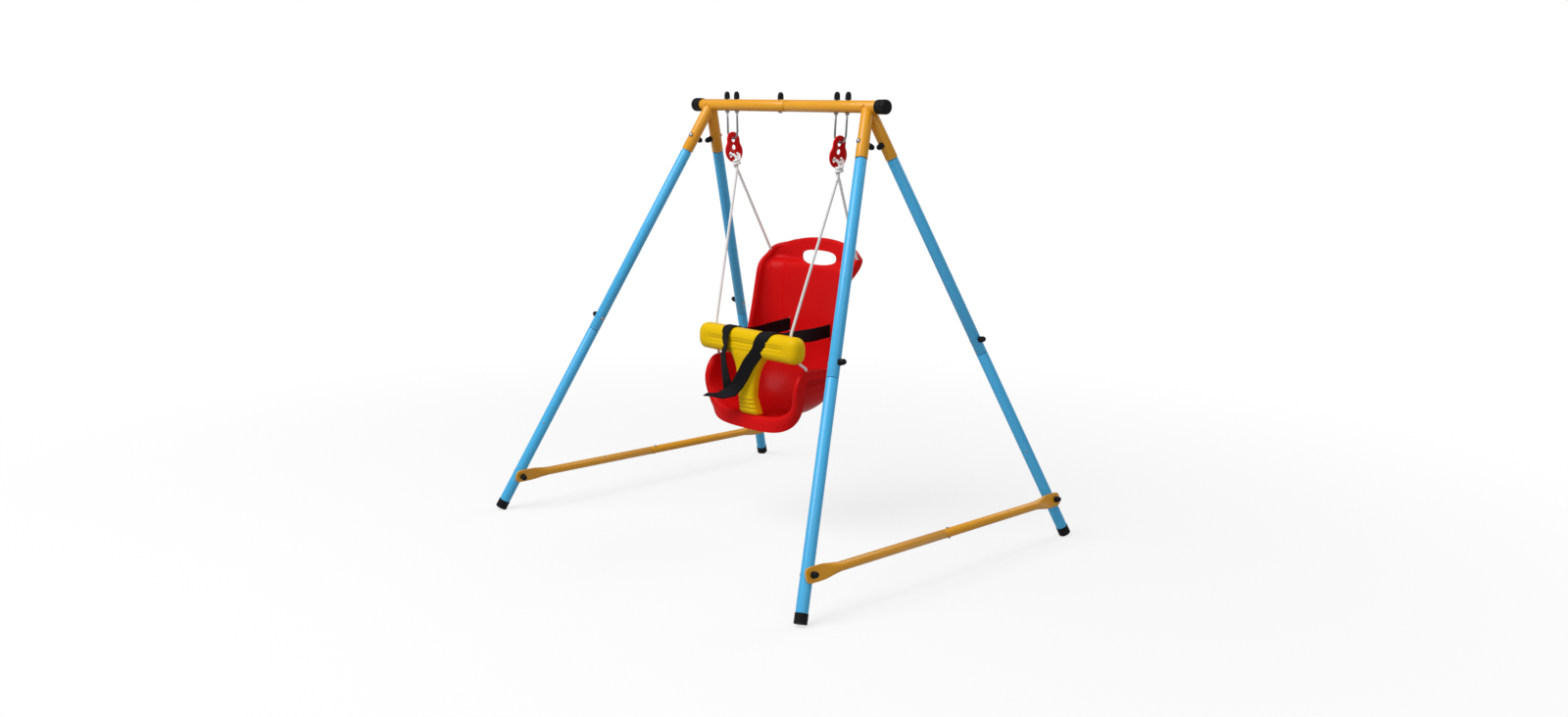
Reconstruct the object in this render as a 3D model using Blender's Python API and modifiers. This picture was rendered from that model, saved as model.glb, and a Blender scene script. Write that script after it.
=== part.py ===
"""Toddler swing set: A-frame of joined tubes, bucket seat on ropes, lift-up T-bar.

Metres, +Z up, origin on the floor in the middle of the frame. The top bar runs along X,
and the child faces -Y.
"""

import math

import bmesh
import bpy
from mathutils import Matrix, Vector

# Clearance between touching pieces
GAP = 0.0003

# Top bar and its welded sockets
BAR_Z = 1.232
BAR_END_X = 0.370
BAR_R = 0.017
BAR_BORE_R = 0.0155
BAR_SEAM_X = 0.008
BAR_SPIGOT_END_X = -0.050
BAR_SPIGOT_R = 0.0152
BAR_BOLT_X = -0.018
SOCKET_END = 0.154
SOCKET_BOLT = 0.108

# Legs: measured along the leg from the bar's axis
LEG_TOP_X = 0.320
LEG_FOOT_X = 0.651
LEG_FOOT_Y = 0.550
LEG_FOOT_Z = 0.006
LEG_R = 0.016
LEG_BORE_R = 0.0147
LEG_SEAM = 0.765
LEG_BOLT = 0.724
LEG_RIM_R = 0.0152
LEG_SPIGOT_R = 0.0143
LEG_TOP_END = 0.088
LOWER_TOP_END = 0.700
CROSSBAR_BOLT = 1.265
FOOT_CAP_R = 0.01725
FOOT_CAP_HEIGHT = 0.026
FOOT_CAP_SOLE = 0.004

# Crossbars between the front and rear leg on each side
CROSS_R = 0.0125
CROSS_BORE_R = 0.0112
CROSS_SPIGOT_R = 0.0109
CROSS_FLAT_HALF = 0.0025
CROSS_SEAM_Y = -0.006
CROSS_BOLT_Y = 0.014
CROSS_SPIGOT_LENGTH = 0.050

# Bolts and their cap nuts
BOLT_R = 0.003
BOLT_HOLE_R = 0.0035
BOLT_HEAD_R = 0.0068
BOLT_HEAD_HEIGHT = 0.0042
CAP_NUT_R = 0.0073
CAP_NUT_HEIGHT = 0.021

# Hangers under the bar
HANGER_X = 0.2245
HANGER_HALF = 0.021
HANGER_LEAN = math.radians(3.0)
BEND_Z = -0.077
WIRE_R = 0.003
PLATE_LEAN = math.radians(3.7)
PLATE_HALF_THICK = 0.003
PLATE_HOLE_R = 0.0075
PLATE_TOP_Z = -0.0247
PLATE_PITCH = 0.022
ROPE_HOLE_HALF = 0.0135

# Rope
ROPE_R = 0.004
KNOT_CENTRE = Vector((0.0168, -0.0070, -0.0880))
KNOT_R = 0.0088
KNOT_TURNS = 1.8
KNOT_PITCH = 0.0093
STRAND_X = 0.0078

# T-bar, held over the arms by the front ropes
TBAR_Y = -0.120
TBAR_Z = 0.5595
TBAR_HALF = (0.2070, 0.0275, 0.0380)
TBAR_ROPE_X = 0.1576
TBAR_ROPE_Y = -0.1133

# Seat shell
SEAT_WALL = 0.003
PAD_RISE = 0.006
HAND_HOLE_Z = 0.793
ARM_HOLE = Vector((0.1850, -0.0780, 0.4990))
SHOULDER_HOLE = Vector((0.1792, 0.1176, 0.7998))
BELT_SLOT_X = 0.085
BELT_SLOT_Z = 0.5815
BELT_HALF_WIDTH = 0.019
BELT_THICK = 0.0016

ROUND_STEPS = 12

YELLOW = (0.86, 0.42, 0.03)
BLUE = (0.10, 0.38, 0.72)
RED = (0.72, 0.02, 0.02)
TBAR_YELLOW = (0.90, 0.62, 0.02)
BLACK = (0.02, 0.02, 0.022)
STEEL = (0.62, 0.62, 0.64)
ROPE_WHITE = (0.85, 0.84, 0.80)

SIDES = (("left", -1), ("right", 1))
CORNERS = (("front_left", -1, -1), ("front_right", 1, -1), ("rear_left", -1, 1), ("rear_right", 1, 1))


def clear_scene():
    """Remove the objects that a new file starts with."""
    for old in list(bpy.data.objects):
        bpy.data.objects.remove(old, do_unlink=True)


def make_collection(name):
    """Return a new collection in the scene."""
    collection = bpy.data.collections.new(name)
    bpy.context.scene.collection.children.link(collection)
    return collection


def make_material(name, color, roughness, metallic=0.0):
    """Return a Principled material of one colour."""
    material = bpy.data.materials.new(name)
    material.use_nodes = True
    shader = material.node_tree.nodes["Principled BSDF"]
    shader.inputs["Base Color"].default_value = (*color, 1.0)
    shader.inputs["Roughness"].default_value = roughness
    shader.inputs["Metallic"].default_value = metallic
    return material


clear_scene()
PARTS = make_collection("toddler_swing_set")
CUTTERS = make_collection("cutters")
PAINT = {
    "yellow": (YELLOW, 0.35, 0.1),
    "blue": (BLUE, 0.35, 0.1),
    "red": (RED, 0.35, 0.0),
    "tbar": (TBAR_YELLOW, 0.4, 0.0),
    "black": (BLACK, 0.5, 0.0),
    "steel": (STEEL, 0.3, 1.0),
    "rope": (ROPE_WHITE, 0.85, 0.0),
    "webbing": (BLACK, 0.9, 0.0),
}


def finish_object(name, mesh, paint=None, smooth=True):
    """Link a mesh as a part with its own material, or as a cutter when it has no paint."""
    body = bpy.data.objects.new(name, mesh)
    if paint is None:
        CUTTERS.objects.link(body)
        body.hide_render = True
        body.display_type = "WIRE"
        return body
    PARTS.objects.link(body)
    mesh.materials.append(make_material(name + "_finish", *PAINT[paint]))
    if smooth:
        mesh.shade_smooth()
        mesh.set_sharp_from_angle(angle=math.radians(35))
    return body


def mesh_from(bm, name):
    """Turn a bmesh into a mesh whose faces point outwards."""
    bmesh.ops.recalc_face_normals(bm, faces=bm.faces)
    mesh = bpy.data.meshes.new(name)
    bm.to_mesh(mesh)
    bm.free()
    return mesh


def axis_matrix(start, direction):
    """Return a matrix that puts local +Z on a direction, with its origin at start."""
    turn = Vector((0, 0, 1)).rotation_difference(Vector(direction).normalized())
    return Matrix.Translation(start) @ turn.to_matrix().to_4x4()


def cylinder(name, start, end, radius, paint=None, sides=ROUND_STEPS):
    """Make a cylinder between two points."""
    start, end = Vector(start), Vector(end)
    bm = bmesh.new()
    bmesh.ops.create_cone(bm, cap_ends=True, segments=sides, radius1=radius, radius2=radius,
                          depth=(end - start).length)
    body = finish_object(name, mesh_from(bm, name), paint)
    body.matrix_world = axis_matrix((start + end) / 2, end - start)
    return body


def box(name, low, high, paint=None):
    """Make a box between two corners."""
    low, high = Vector(low), Vector(high)
    bm = bmesh.new()
    bmesh.ops.create_cube(bm, size=1.0)
    bmesh.ops.scale(bm, verts=bm.verts, vec=high - low)
    body = finish_object(name, mesh_from(bm, name), paint)
    body.location = (low + high) / 2
    return body


def combine(body, tool, operation, solver="EXACT"):
    """Add a Boolean of another object to a body."""
    modifier = body.modifiers.new(operation.lower() + "_" + tool.name, "BOOLEAN")
    modifier.operation = operation
    modifier.object = tool
    modifier.solver = solver


def drill(body, name, start, end, radius, sides=8, solver="EXACT"):
    """Cut a round hole between two points."""
    combine(body, cylinder(name, start, end, radius, sides=sides), "DIFFERENCE", solver)


def turned(name, profile, start, direction, paint, closed, steps=ROUND_STEPS):
    """Turn a profile of (radius, distance) points about an axis with a Screw modifier.

    A closed profile is a ring's section. An open one starts and ends on the axis.
    The profile runs down its outer side, from the far end to the near end.
    """
    mesh = bpy.data.meshes.new(name)
    points = [(radius, 0.0, distance) for radius, distance in profile]
    edges = [(i, i + 1) for i in range(len(points) - 1)]
    if closed:
        edges.append((len(points) - 1, 0))
    mesh.from_pydata(points, edges, [])
    body = finish_object(name, mesh, paint, smooth=False)
    screw = body.modifiers.new("turn", "SCREW")
    screw.axis = "Z"
    screw.steps = steps
    screw.render_steps = steps
    screw.use_merge_vertices = True
    screw.merge_threshold = 0.00005
    screw.use_smooth_shade = True
    body.matrix_world = axis_matrix(start, direction)
    return body


def curve_mesh(name, points, radius, paint, resolution=2, radii=None):
    """Sweep a round section along points and return it as a closed mesh object."""
    curve = bpy.data.curves.new(name + "_path", "CURVE")
    curve.dimensions = "3D"
    curve.bevel_depth = radius
    curve.bevel_resolution = resolution
    curve.use_fill_caps = True
    spline = curve.splines.new("POLY")
    spline.points.add(len(points) - 1)
    for k, position in enumerate(points):
        spline.points[k].co = (*position, 1.0)
        spline.points[k].radius = radii[k] if radii else 1.0
    holder = bpy.data.objects.new(name + "_path", curve)
    PARTS.objects.link(holder)
    graph = bpy.context.evaluated_depsgraph_get()
    mesh = bpy.data.meshes.new_from_object(holder.evaluated_get(graph))
    place = holder.matrix_world.copy()
    bpy.data.objects.remove(holder, do_unlink=True)
    bm = bmesh.new()
    bm.from_mesh(mesh)
    bmesh.ops.remove_doubles(bm, verts=bm.verts, dist=0.00002)
    bm.to_mesh(mesh)
    bm.free()
    mesh.materials.clear()
    body = finish_object(name, mesh, paint)
    body.matrix_world = place
    return body


def loft(name, rings, paint):
    """Skin closed rings that have the same number of points, and cap both ends."""
    bm = bmesh.new()
    rows = [[bm.verts.new(point) for point in ring] for ring in rings]
    count = len(rows[0])
    for row, after in zip(rows, rows[1:]):
        for i in range(count):
            j = (i + 1) % count
            bm.faces.new((row[i], row[j], after[j], after[i]))
    bm.faces.new(list(reversed(rows[0])))
    bm.faces.new(rows[-1])
    return finish_object(name, mesh_from(bm, name), paint)


def superellipse(angle, half_a, half_b, power):
    """Return a point of a rounded outline: power 1 is an ellipse, and 0 a rectangle."""
    cosine, sine = math.cos(angle), math.sin(angle)
    return (half_a * math.copysign(abs(cosine) ** power, cosine),
            half_b * math.copysign(abs(sine) ** power, sine))


def blend_points(controls, position):
    """Read a smooth curve through control tuples at a position from 0 to len - 1."""
    last = len(controls) - 1
    i = min(int(position), last - 1)
    t = position - i
    before = controls[max(i - 1, 0)]
    start = controls[i]
    end = controls[i + 1]
    after = controls[min(i + 2, last)]
    result = []
    for a, b, c, d in zip(before, start, end, after):
        result.append(0.5 * (2 * b + (c - a) * t + (2 * a - 5 * b + 4 * c - d) * t * t
                             + (3 * b - a - 3 * c + d) * t ** 3))
    return result


def rounded_path(corners, radius, steps=4):
    """Replace each inner corner of a route by a curve that starts radius before it."""
    corners = [Vector(corner) for corner in corners]
    path = [corners[0]]
    for before, corner, after in zip(corners, corners[1:], corners[2:]):
        back = (before - corner)
        ahead = (after - corner)
        reach = min(radius, back.length * 0.45, ahead.length * 0.45)
        start = corner + back.normalized() * reach
        end = corner + ahead.normalized() * reach
        for i in range(steps + 1):
            t = i / steps
            path.append(start * (1 - t) ** 2 + corner * 2 * t * (1 - t) + end * t * t)
    path.append(corners[-1])
    return path


def leg_line(side, end):
    """Return the leg axis's start on the bar and its unit direction down to the foot."""
    start = Vector((side * LEG_TOP_X, 0, BAR_Z))
    foot = Vector((side * LEG_FOOT_X, end * LEG_FOOT_Y, LEG_FOOT_Z))
    return start, (foot - start).normalized(), (foot - start).length


def bolt_line(side, end):
    """Return the socket bolt's direction: square to the leg, inwards and slightly outboard."""
    down = leg_line(side, end)[1]
    across = down.cross(Vector((1, 0, 0))).normalized()
    if across.y * end > 0:
        across = -across
    sideways = Vector((side, 0, 0))
    sideways = (sideways - down * sideways.dot(down)).normalized()
    return (across + sideways * 0.2).normalized()


def crossbar_normal(side):
    """Return the normal of the plane that a side's two legs share, towards the right."""
    down = leg_line(side, 1)[1]
    return Vector((-down.z, 0, down.x)).normalized()


def bolt(name, centre, direction, head_reach, nut_reach, nut_height=CAP_NUT_HEIGHT):
    """Make a domed bolt with its cap nut: the nut is on the side that direction points to."""
    nut_top = nut_reach + nut_height
    head_top = -head_reach - BOLT_HEAD_HEIGHT
    profile = [
        (0.0, nut_top),
        (CAP_NUT_R * 0.45, nut_top - nut_height * 0.07),
        (CAP_NUT_R * 0.85, nut_top - nut_height * 0.36),
        (CAP_NUT_R, nut_top - nut_height * 0.72),
        (CAP_NUT_R, nut_reach),
        (BOLT_R, nut_reach),
        (BOLT_R, -head_reach),
        (BOLT_HEAD_R, -head_reach),
        (BOLT_HEAD_R * 0.8, -head_reach - BOLT_HEAD_HEIGHT * 0.65),
        (0.0, head_top),
    ]
    return turned(name, profile, centre, direction, "black", False, steps=8)


def build_top_bar():
    """Build the two bar halves, each with its two welded leg sockets."""
    for word, side in SIDES:
        outer = Vector((side * BAR_END_X, 0, BAR_Z))
        seam_x = BAR_SEAM_X if side < 0 else BAR_SEAM_X + GAP
        bar = cylinder("top_bar_" + word, outer, (seam_x, 0, BAR_Z), BAR_R, "yellow")
        if side > 0:
            spigot = cylinder("bar_spigot", (BAR_SEAM_X + 0.02, 0, BAR_Z), (BAR_SPIGOT_END_X, 0, BAR_Z),
                              BAR_SPIGOT_R)
            combine(bar, spigot, "UNION", "MANIFOLD")
        for end in (-1, 1):
            start, down, length = leg_line(side, end)
            socket = cylinder("socket_%s_%d" % (word, end), start, start + down * SOCKET_END, BAR_R - 0.0001)
            combine(bar, socket, "UNION", "MANIFOLD")
        bore_end = BAR_SEAM_X + 0.02 if side < 0 else 0.10
        drill(bar, "bar_bore_" + word, (side * (BAR_END_X + 0.01), 0, BAR_Z), (bore_end, 0, BAR_Z),
              BAR_BORE_R, ROUND_STEPS, "MANIFOLD")
        if side > 0:
            drill(bar, "spigot_bore", (bore_end + 0.01, 0, BAR_Z), (BAR_SPIGOT_END_X - 0.01, 0, BAR_Z),
                  BAR_SPIGOT_R - 0.0015, ROUND_STEPS, "MANIFOLD")
        for end in (-1, 1):
            start, down, length = leg_line(side, end)
            drill(bar, "socket_bore_%s_%d" % (word, end), start + down * 0.014,
                  start + down * (SOCKET_END + 0.01), BAR_BORE_R - 0.0001, ROUND_STEPS, "MANIFOLD")
            across = bolt_line(side, end)
            middle = start + down * SOCKET_BOLT
            drill(bar, "socket_drill_%s_%d" % (word, end), middle - across * 0.025, middle + across * 0.025,
                  BOLT_HOLE_R, solver="MANIFOLD")
        for wire in (-1, 1):
            place = hanger_place(side)
            drill(bar, "hanger_drill_%s_%d" % (word, wire), place @ Vector((wire * HANGER_HALF, 0, -0.03)),
                  place @ Vector((wire * HANGER_HALF, 0, 0.03)), WIRE_R + 0.0007, solver="MANIFOLD")
        drill(bar, "bar_bolt_drill_" + word, (BAR_BOLT_X, 0, BAR_Z - 0.03), (BAR_BOLT_X, 0, BAR_Z + 0.03),
              BOLT_HOLE_R, solver="MANIFOLD")


def build_bar_ends():
    """Build the domed plugs over the bar's ends."""
    skirt = 0.014
    depth = 0.022
    round_r = 0.007
    for word, side in SIDES:
        profile = [(0.0, depth)]
        for i in range(4):
            angle = math.radians(90 - 30 * i)
            radius = 0.020 - round_r * (1 - math.cos(angle))
            profile.append((radius, depth - round_r * (1 - math.sin(angle))))
        profile += [
            (0.0195, -skirt),
            (BAR_R + GAP * 2, -skirt),
            (BAR_R + GAP * 2, GAP),
            (0.0, GAP),
        ]
        turned("bar_end_cap_" + word, profile, (side * BAR_END_X, 0, BAR_Z), (side, 0, 0), "black", False)


def build_legs():
    """Build the upper and lower leg tubes, their foot caps and their drilled holes."""
    for word, side, end in CORNERS:
        start, down, length = leg_line(side, end)
        across = bolt_line(side, end)
        outward = Vector((side, 0, 0))
        outward = (outward - down * outward.dot(down)).normalized()
        normal = crossbar_normal(side)
        upper_profile = [
            (LEG_R, LEG_SEAM - GAP),
            (LEG_R, SOCKET_END + 0.004),
            (LEG_RIM_R, SOCKET_END - 0.001),
            (LEG_RIM_R, LEG_TOP_END),
            (LEG_RIM_R - 0.0014, LEG_TOP_END),
            (LEG_RIM_R - 0.0014, SOCKET_END),
            (LEG_BORE_R, SOCKET_END + 0.006),
            (LEG_BORE_R, LEG_SEAM - GAP),
        ]
        upper = turned("upper_leg_" + word, upper_profile, start, down, "blue", True)
        lower_end = length - FOOT_CAP_SOLE
        lower_profile = [
            (LEG_R, lower_end),
            (LEG_R, LEG_SEAM + 0.004),
            (LEG_SPIGOT_R, LEG_SEAM - 0.001),
            (LEG_SPIGOT_R, LOWER_TOP_END),
            (LEG_SPIGOT_R - 0.0013, LOWER_TOP_END),
            (LEG_SPIGOT_R - 0.0013, LEG_SEAM),
            (LEG_BORE_R, LEG_SEAM + 0.006),
            (LEG_BORE_R, lower_end),
        ]
        lower = turned("lower_leg_" + word, lower_profile, start, down, "blue", True)
        cap_profile = [
            (0.0, length),
            (FOOT_CAP_R - 0.001, length),
            (FOOT_CAP_R, length - 0.001),
            (FOOT_CAP_R, length - FOOT_CAP_HEIGHT),
            (LEG_R + GAP, length - FOOT_CAP_HEIGHT),
            (LEG_R + GAP, lower_end + GAP),
            (0.0, lower_end + GAP),
        ]
        cap = turned("foot_cap_" + word, cap_profile, start, down, "black", False)
        foot = start + down * length
        combine(cap, box("floor_cut_" + word, (foot.x - 0.05, foot.y - 0.05, -0.03),
                         (foot.x + 0.05, foot.y + 0.05, 0.0)), "DIFFERENCE")
        middle = start + down * SOCKET_BOLT
        drill(upper, "rim_drill_" + word, middle - across * 0.025, middle + across * 0.025, BOLT_HOLE_R)
        middle = start + down * LEG_BOLT
        for tube, tag in ((upper, "upper"), (lower, "lower")):
            drill(tube, "leg_drill_%s_%s" % (tag, word), middle - outward * 0.025, middle + outward * 0.025,
                  BOLT_HOLE_R)
        middle = start + down * CROSSBAR_BOLT
        drill(lower, "cross_drill_" + word, middle - normal * 0.025, middle + normal * 0.025, BOLT_HOLE_R)


def build_leg_bolts():
    """Build the bolts of the sockets, the leg joints and the crossbar ends."""
    for word, side, end in CORNERS:
        start, down, length = leg_line(side, end)
        bolt("socket_bolt_" + word, start + down * SOCKET_BOLT, bolt_line(side, end), BAR_R + GAP,
             BAR_R + GAP)
        outward = Vector((side, 0, 0))
        outward = (outward - down * outward.dot(down)).normalized()
        bolt("leg_bolt_" + word, start + down * LEG_BOLT, outward, LEG_R + GAP, LEG_R + GAP)
        plate = LEG_R + GAP * 2 + CROSS_FLAT_HALF * 2
        bolt("crossbar_bolt_" + word, start + down * CROSSBAR_BOLT, crossbar_normal(side),
             LEG_R + GAP, plate + GAP, nut_height=0.018)
    bolt("bar_bolt", (BAR_BOLT_X, 0, BAR_Z), (0, 0, 1), BAR_R + GAP, BAR_R + GAP)


def crossbar_axis(side):
    """Return the crossbar's bolt centre at the front leg, and its normal."""
    start, down, length = leg_line(side, -1)
    normal = crossbar_normal(side)
    centre = start + down * CROSSBAR_BOLT + normal * (LEG_R + GAP + CROSS_FLAT_HALF)
    return centre, normal


def build_crossbars():
    """Build each crossbar from two tubes whose outer ends are pressed flat."""
    flat_sections = [
        (-0.0210, 0.0100, CROSS_FLAT_HALF, 0.45),
        (-0.0190, 0.0145, CROSS_FLAT_HALF, 0.40),
        (-0.0130, 0.0185, CROSS_FLAT_HALF, 0.35),
        (0.0000, 0.0200, CROSS_FLAT_HALF, 0.30),
        (0.0340, 0.0200, CROSS_FLAT_HALF, 0.30),
        (0.0520, 0.0185, 0.0048, 0.60),
        (0.0720, 0.0155, 0.0090, 0.90),
        (0.0960, CROSS_R, CROSS_R, 1.00),
    ]
    for word, side in SIDES:
        centre, normal = crossbar_axis(side)
        rise = normal.cross(Vector((0, 1, 0))).normalized()
        for tag, end in (("front", -1), ("rear", 1)):
            seam = CROSS_SEAM_Y + (GAP if end > 0 else 0.0)
            sections = flat_sections + [(abs(centre.y) - end * seam, CROSS_R, CROSS_R, 1.0)]
            rings = []
            for along, half_rise, half_normal, power in sections:
                y = end * (abs(centre.y) - along)
                ring = []
                for i in range(ROUND_STEPS):
                    angle = 2 * math.pi * (i + 0.5) / ROUND_STEPS
                    up, out = superellipse(angle, half_rise, half_normal, power)
                    point = centre + rise * up + normal * out
                    ring.append((point.x, y, point.z))
                rings.append(ring)
            name = "crossbar_%s_%s" % (word, tag)
            half = loft(name, rings, "yellow")
            mid = Vector((centre.x, 0, centre.z))
            seam_point = mid + Vector((0, CROSS_SEAM_Y, 0))
            bore_end = mid + Vector((0, end * (abs(centre.y) - 0.100), 0))
            if end < 0:
                tip = seam_point + Vector((0, CROSS_SPIGOT_LENGTH, 0))
                spigot = cylinder("cross_spigot_" + word, seam_point - Vector((0, 0.02, 0)), tip,
                                  CROSS_SPIGOT_R)
                combine(half, spigot, "UNION")
                drill(half, "cross_bore_%s_%s" % (word, tag), bore_end, tip + Vector((0, 0.01, 0)),
                      CROSS_SPIGOT_R - 0.0012, ROUND_STEPS)
            else:
                drill(half, "cross_bore_%s_%s" % (word, tag), bore_end, seam_point - Vector((0, 0.01, 0)),
                      CROSS_BORE_R, ROUND_STEPS)
            joint = mid + Vector((0, CROSS_BOLT_Y, 0))
            drill(half, "cross_joint_drill_%s_%s" % (word, tag), joint - rise * 0.02, joint + rise * 0.02,
                  BOLT_HOLE_R)
            hole = Vector((centre.x, end * abs(centre.y), centre.z))
            drill(half, "cross_end_drill_%s_%s" % (word, tag), hole - normal * 0.02, hole + normal * 0.02,
                  BOLT_HOLE_R)
        joint = Vector((centre.x, CROSS_BOLT_Y, centre.z))
        reach = CROSS_R + GAP
        screw = [
            (0.0, reach + 0.0028),
            (0.0032, reach + 0.0022),
            (0.0048, reach),
            (BOLT_R, reach),
            (BOLT_R, -reach),
            (0.0048, -reach),
            (0.0032, -reach - 0.0022),
            (0.0, -reach - 0.0028),
        ]
        turned("crossbar_joint_bolt_" + word, screw, joint, rise, "steel", False, steps=10)


def hanger_place(side):
    """Return the matrix that leans a U-bolt inwards from the bar's axis."""
    origin = Matrix.Translation((side * HANGER_X, 0, BAR_Z))
    return origin @ Matrix.Rotation(side * HANGER_LEAN, 4, "Y")


def plate_place(side):
    """Return the matrix of a rope plate, which leans further about the U-bolt's bend."""
    bend = Matrix.Translation((0, 0, BEND_Z))
    return hanger_place(side) @ bend @ Matrix.Rotation(side * PLATE_LEAN, 4, "Y")


def build_hangers():
    """Build the U-bolts, their nuts and the drilled rope plates that swing on them."""
    top = BAR_R + 0.011
    for word, side in SIDES:
        place = hanger_place(side)
        arc = []
        for i in range(13):
            angle = math.pi * i / 12
            arc.append((-HANGER_HALF * math.cos(angle), 0, BEND_Z - HANGER_HALF * math.sin(angle)))
        route = [(-HANGER_HALF, 0, top)] + arc + [(HANGER_HALF, 0, top)]
        wire = curve_mesh("u_bolt_" + word, route, WIRE_R, "steel", 2)
        wire.matrix_world = place
        for tag, leg in (("inner", -side), ("outer", side)):
            leg_x = leg * HANGER_HALF
            slip = leg_x * math.tan(side * HANGER_LEAN)
            nut_z = slip - BAR_R - 0.0009
            nut = cylinder("under_nut_%s_%s" % (word, tag), (leg_x, 0, nut_z - 0.005), (leg_x, 0, nut_z),
                           0.0062, sides=6)
            nut.matrix_world = place @ nut.matrix_world
            combine(wire, nut, "UNION")
            height = CAP_NUT_HEIGHT + 0.001
            profile = [
                (0.0, height),
                (CAP_NUT_R * 0.45, height * 0.93),
                (CAP_NUT_R * 0.85, height * 0.64),
                (CAP_NUT_R, height * 0.28),
                (CAP_NUT_R, 0.0),
                (WIRE_R + 0.0004, 0.0),
                (WIRE_R + 0.0004, 0.0125),
                (0.0, 0.0135),
            ]
            foot = place @ Vector((leg_x, 0, slip + BAR_R + 0.0009))
            up = place.to_3x3() @ Vector((0, 0, 1))
            turned("u_bolt_nut_%s_%s" % (word, tag), profile, foot, up, "black", False, steps=10)
        build_plate(word, side)


def build_plate(word, side):
    """Build one rope plate: a narrow head over a wide foot, with four holes."""
    place = plate_place(side)
    foot_z = PLATE_TOP_Z - 0.034
    outline = []
    for i in range(9):
        angle = math.pi * i / 8
        outline.append((0.0235 * math.cos(angle), PLATE_TOP_Z + 0.0235 * math.sin(angle)))
    flare = math.radians(37)
    for i in range(15):
        angle = math.pi - flare + (math.pi + 2 * flare) * i / 14
        outline.append((0.033 * math.cos(angle), foot_z + 0.033 * math.sin(angle)))
    bm = bmesh.new()
    face = bm.faces.new([bm.verts.new((-PLATE_HALF_THICK, y, z)) for y, z in outline])
    pushed = bmesh.ops.extrude_face_region(bm, geom=[face])
    moved = [item for item in pushed["geom"] if isinstance(item, bmesh.types.BMVert)]
    bmesh.ops.translate(bm, verts=moved, vec=(2 * PLATE_HALF_THICK, 0, 0))
    plate = finish_object("rope_plate_" + word, mesh_from(bm, "rope_plate_" + word), "red")
    plate.matrix_world = place
    bevel = plate.modifiers.new("rounded_edges", "BEVEL")
    bevel.width = 0.0012
    bevel.segments = 1
    bevel.limit_method = "ANGLE"
    bevel.angle_limit = math.radians(60)
    holes = ((0, 0), (0, -1), (-ROPE_HOLE_HALF, -2), (ROPE_HOLE_HALF, -2))
    for number, (y, row) in enumerate(holes):
        z = PLATE_TOP_Z + row * PLATE_PITCH
        drill(plate, "plate_hole_%s_%d" % (word, number), place @ Vector((-0.01, y, z)),
              place @ Vector((0.01, y, z)), PLATE_HOLE_R, 12, "MANIFOLD")


def seat_stations():
    """Return the shell's control stations, from the front lip up to the backrest's top.

    Each is the bottom of the section (y, z), the top of its side wall (y, z), the half width,
    the squareness of the section and the radius of the rolled rim.
    """
    return (
        (-0.1165, 0.351, -0.1165, 0.436, 0.174, 3.0, 0.0125),
        (-0.1000, 0.347, -0.1080, 0.464, 0.174, 3.0, 0.0122),
        (-0.0700, 0.344, -0.0880, 0.486, 0.174, 2.9, 0.0118),
        (-0.0250, 0.343, -0.0450, 0.4895, 0.174, 2.8, 0.0115),
        (0.0200, 0.347, -0.0080, 0.4895, 0.174, 2.7, 0.0115),
        (0.0560, 0.363, 0.0140, 0.4910, 0.176, 2.7, 0.0115),
        (0.0850, 0.393, 0.0270, 0.4980, 0.178, 2.7, 0.0110),
        (0.1080, 0.428, 0.0345, 0.5150, 0.177, 2.6, 0.0100),
        (0.1210, 0.467, 0.0415, 0.5380, 0.176, 2.5, 0.0092),
        (0.1270, 0.516, 0.0475, 0.5680, 0.174, 2.4, 0.0090),
        (0.1290, 0.568, 0.0535, 0.6030, 0.172, 2.4, 0.0090),
        (0.1300, 0.625, 0.0635, 0.6520, 0.172, 2.4, 0.0090),
        (0.1310, 0.685, 0.0725, 0.7020, 0.172, 2.4, 0.0090),
        (0.1330, 0.740, 0.0820, 0.7460, 0.172, 2.5, 0.0090),
        (0.1360, 0.764, 0.0970, 0.7660, 0.175, 2.8, 0.0090),
        (0.1520, 0.779, 0.1130, 0.7830, 0.1735, 3.6, 0.0090),
        (0.1550, 0.801, 0.1240, 0.7990, 0.158, 3.6, 0.0090),
        (0.1570, 0.821, 0.1370, 0.8140, 0.138, 3.2, 0.0090),
        (0.1580, 0.839, 0.1500, 0.8270, 0.109, 2.6, 0.0090),
    )


def seat_point(station, across):
    """Return a point of the shell's inner face; across runs from -1 to 1 between the walls."""
    low_y, low_z, high_y, high_z, half_width, squareness, _ = station
    angle = abs(across) * math.pi / 2
    power = 2 / squareness
    x = math.copysign(half_width * math.sin(angle) ** power, across) if across else 0.0
    rise = 1 - math.cos(angle) ** power if abs(across) < 1 else 1.0
    crown = min(max((low_z - 0.785) / 0.054, 0.0), 1.0)
    x += (half_width * across - x) * crown
    rise += ((x / half_width) ** 2 - rise) * crown
    pad_x = min(max((0.125 - abs(x)) / 0.030, 0.0), 1.0)
    pad_z = min(max((low_z - 0.500) / 0.060, 0.0), 1.0) if low_z < 0.772 else 0.0
    pad = PAD_RISE * pad_x * pad_x * (3 - 2 * pad_x) * pad_z
    return Vector((x, low_y + (high_y - low_y) * rise - pad, low_z + (high_z - low_z) * rise))


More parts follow.
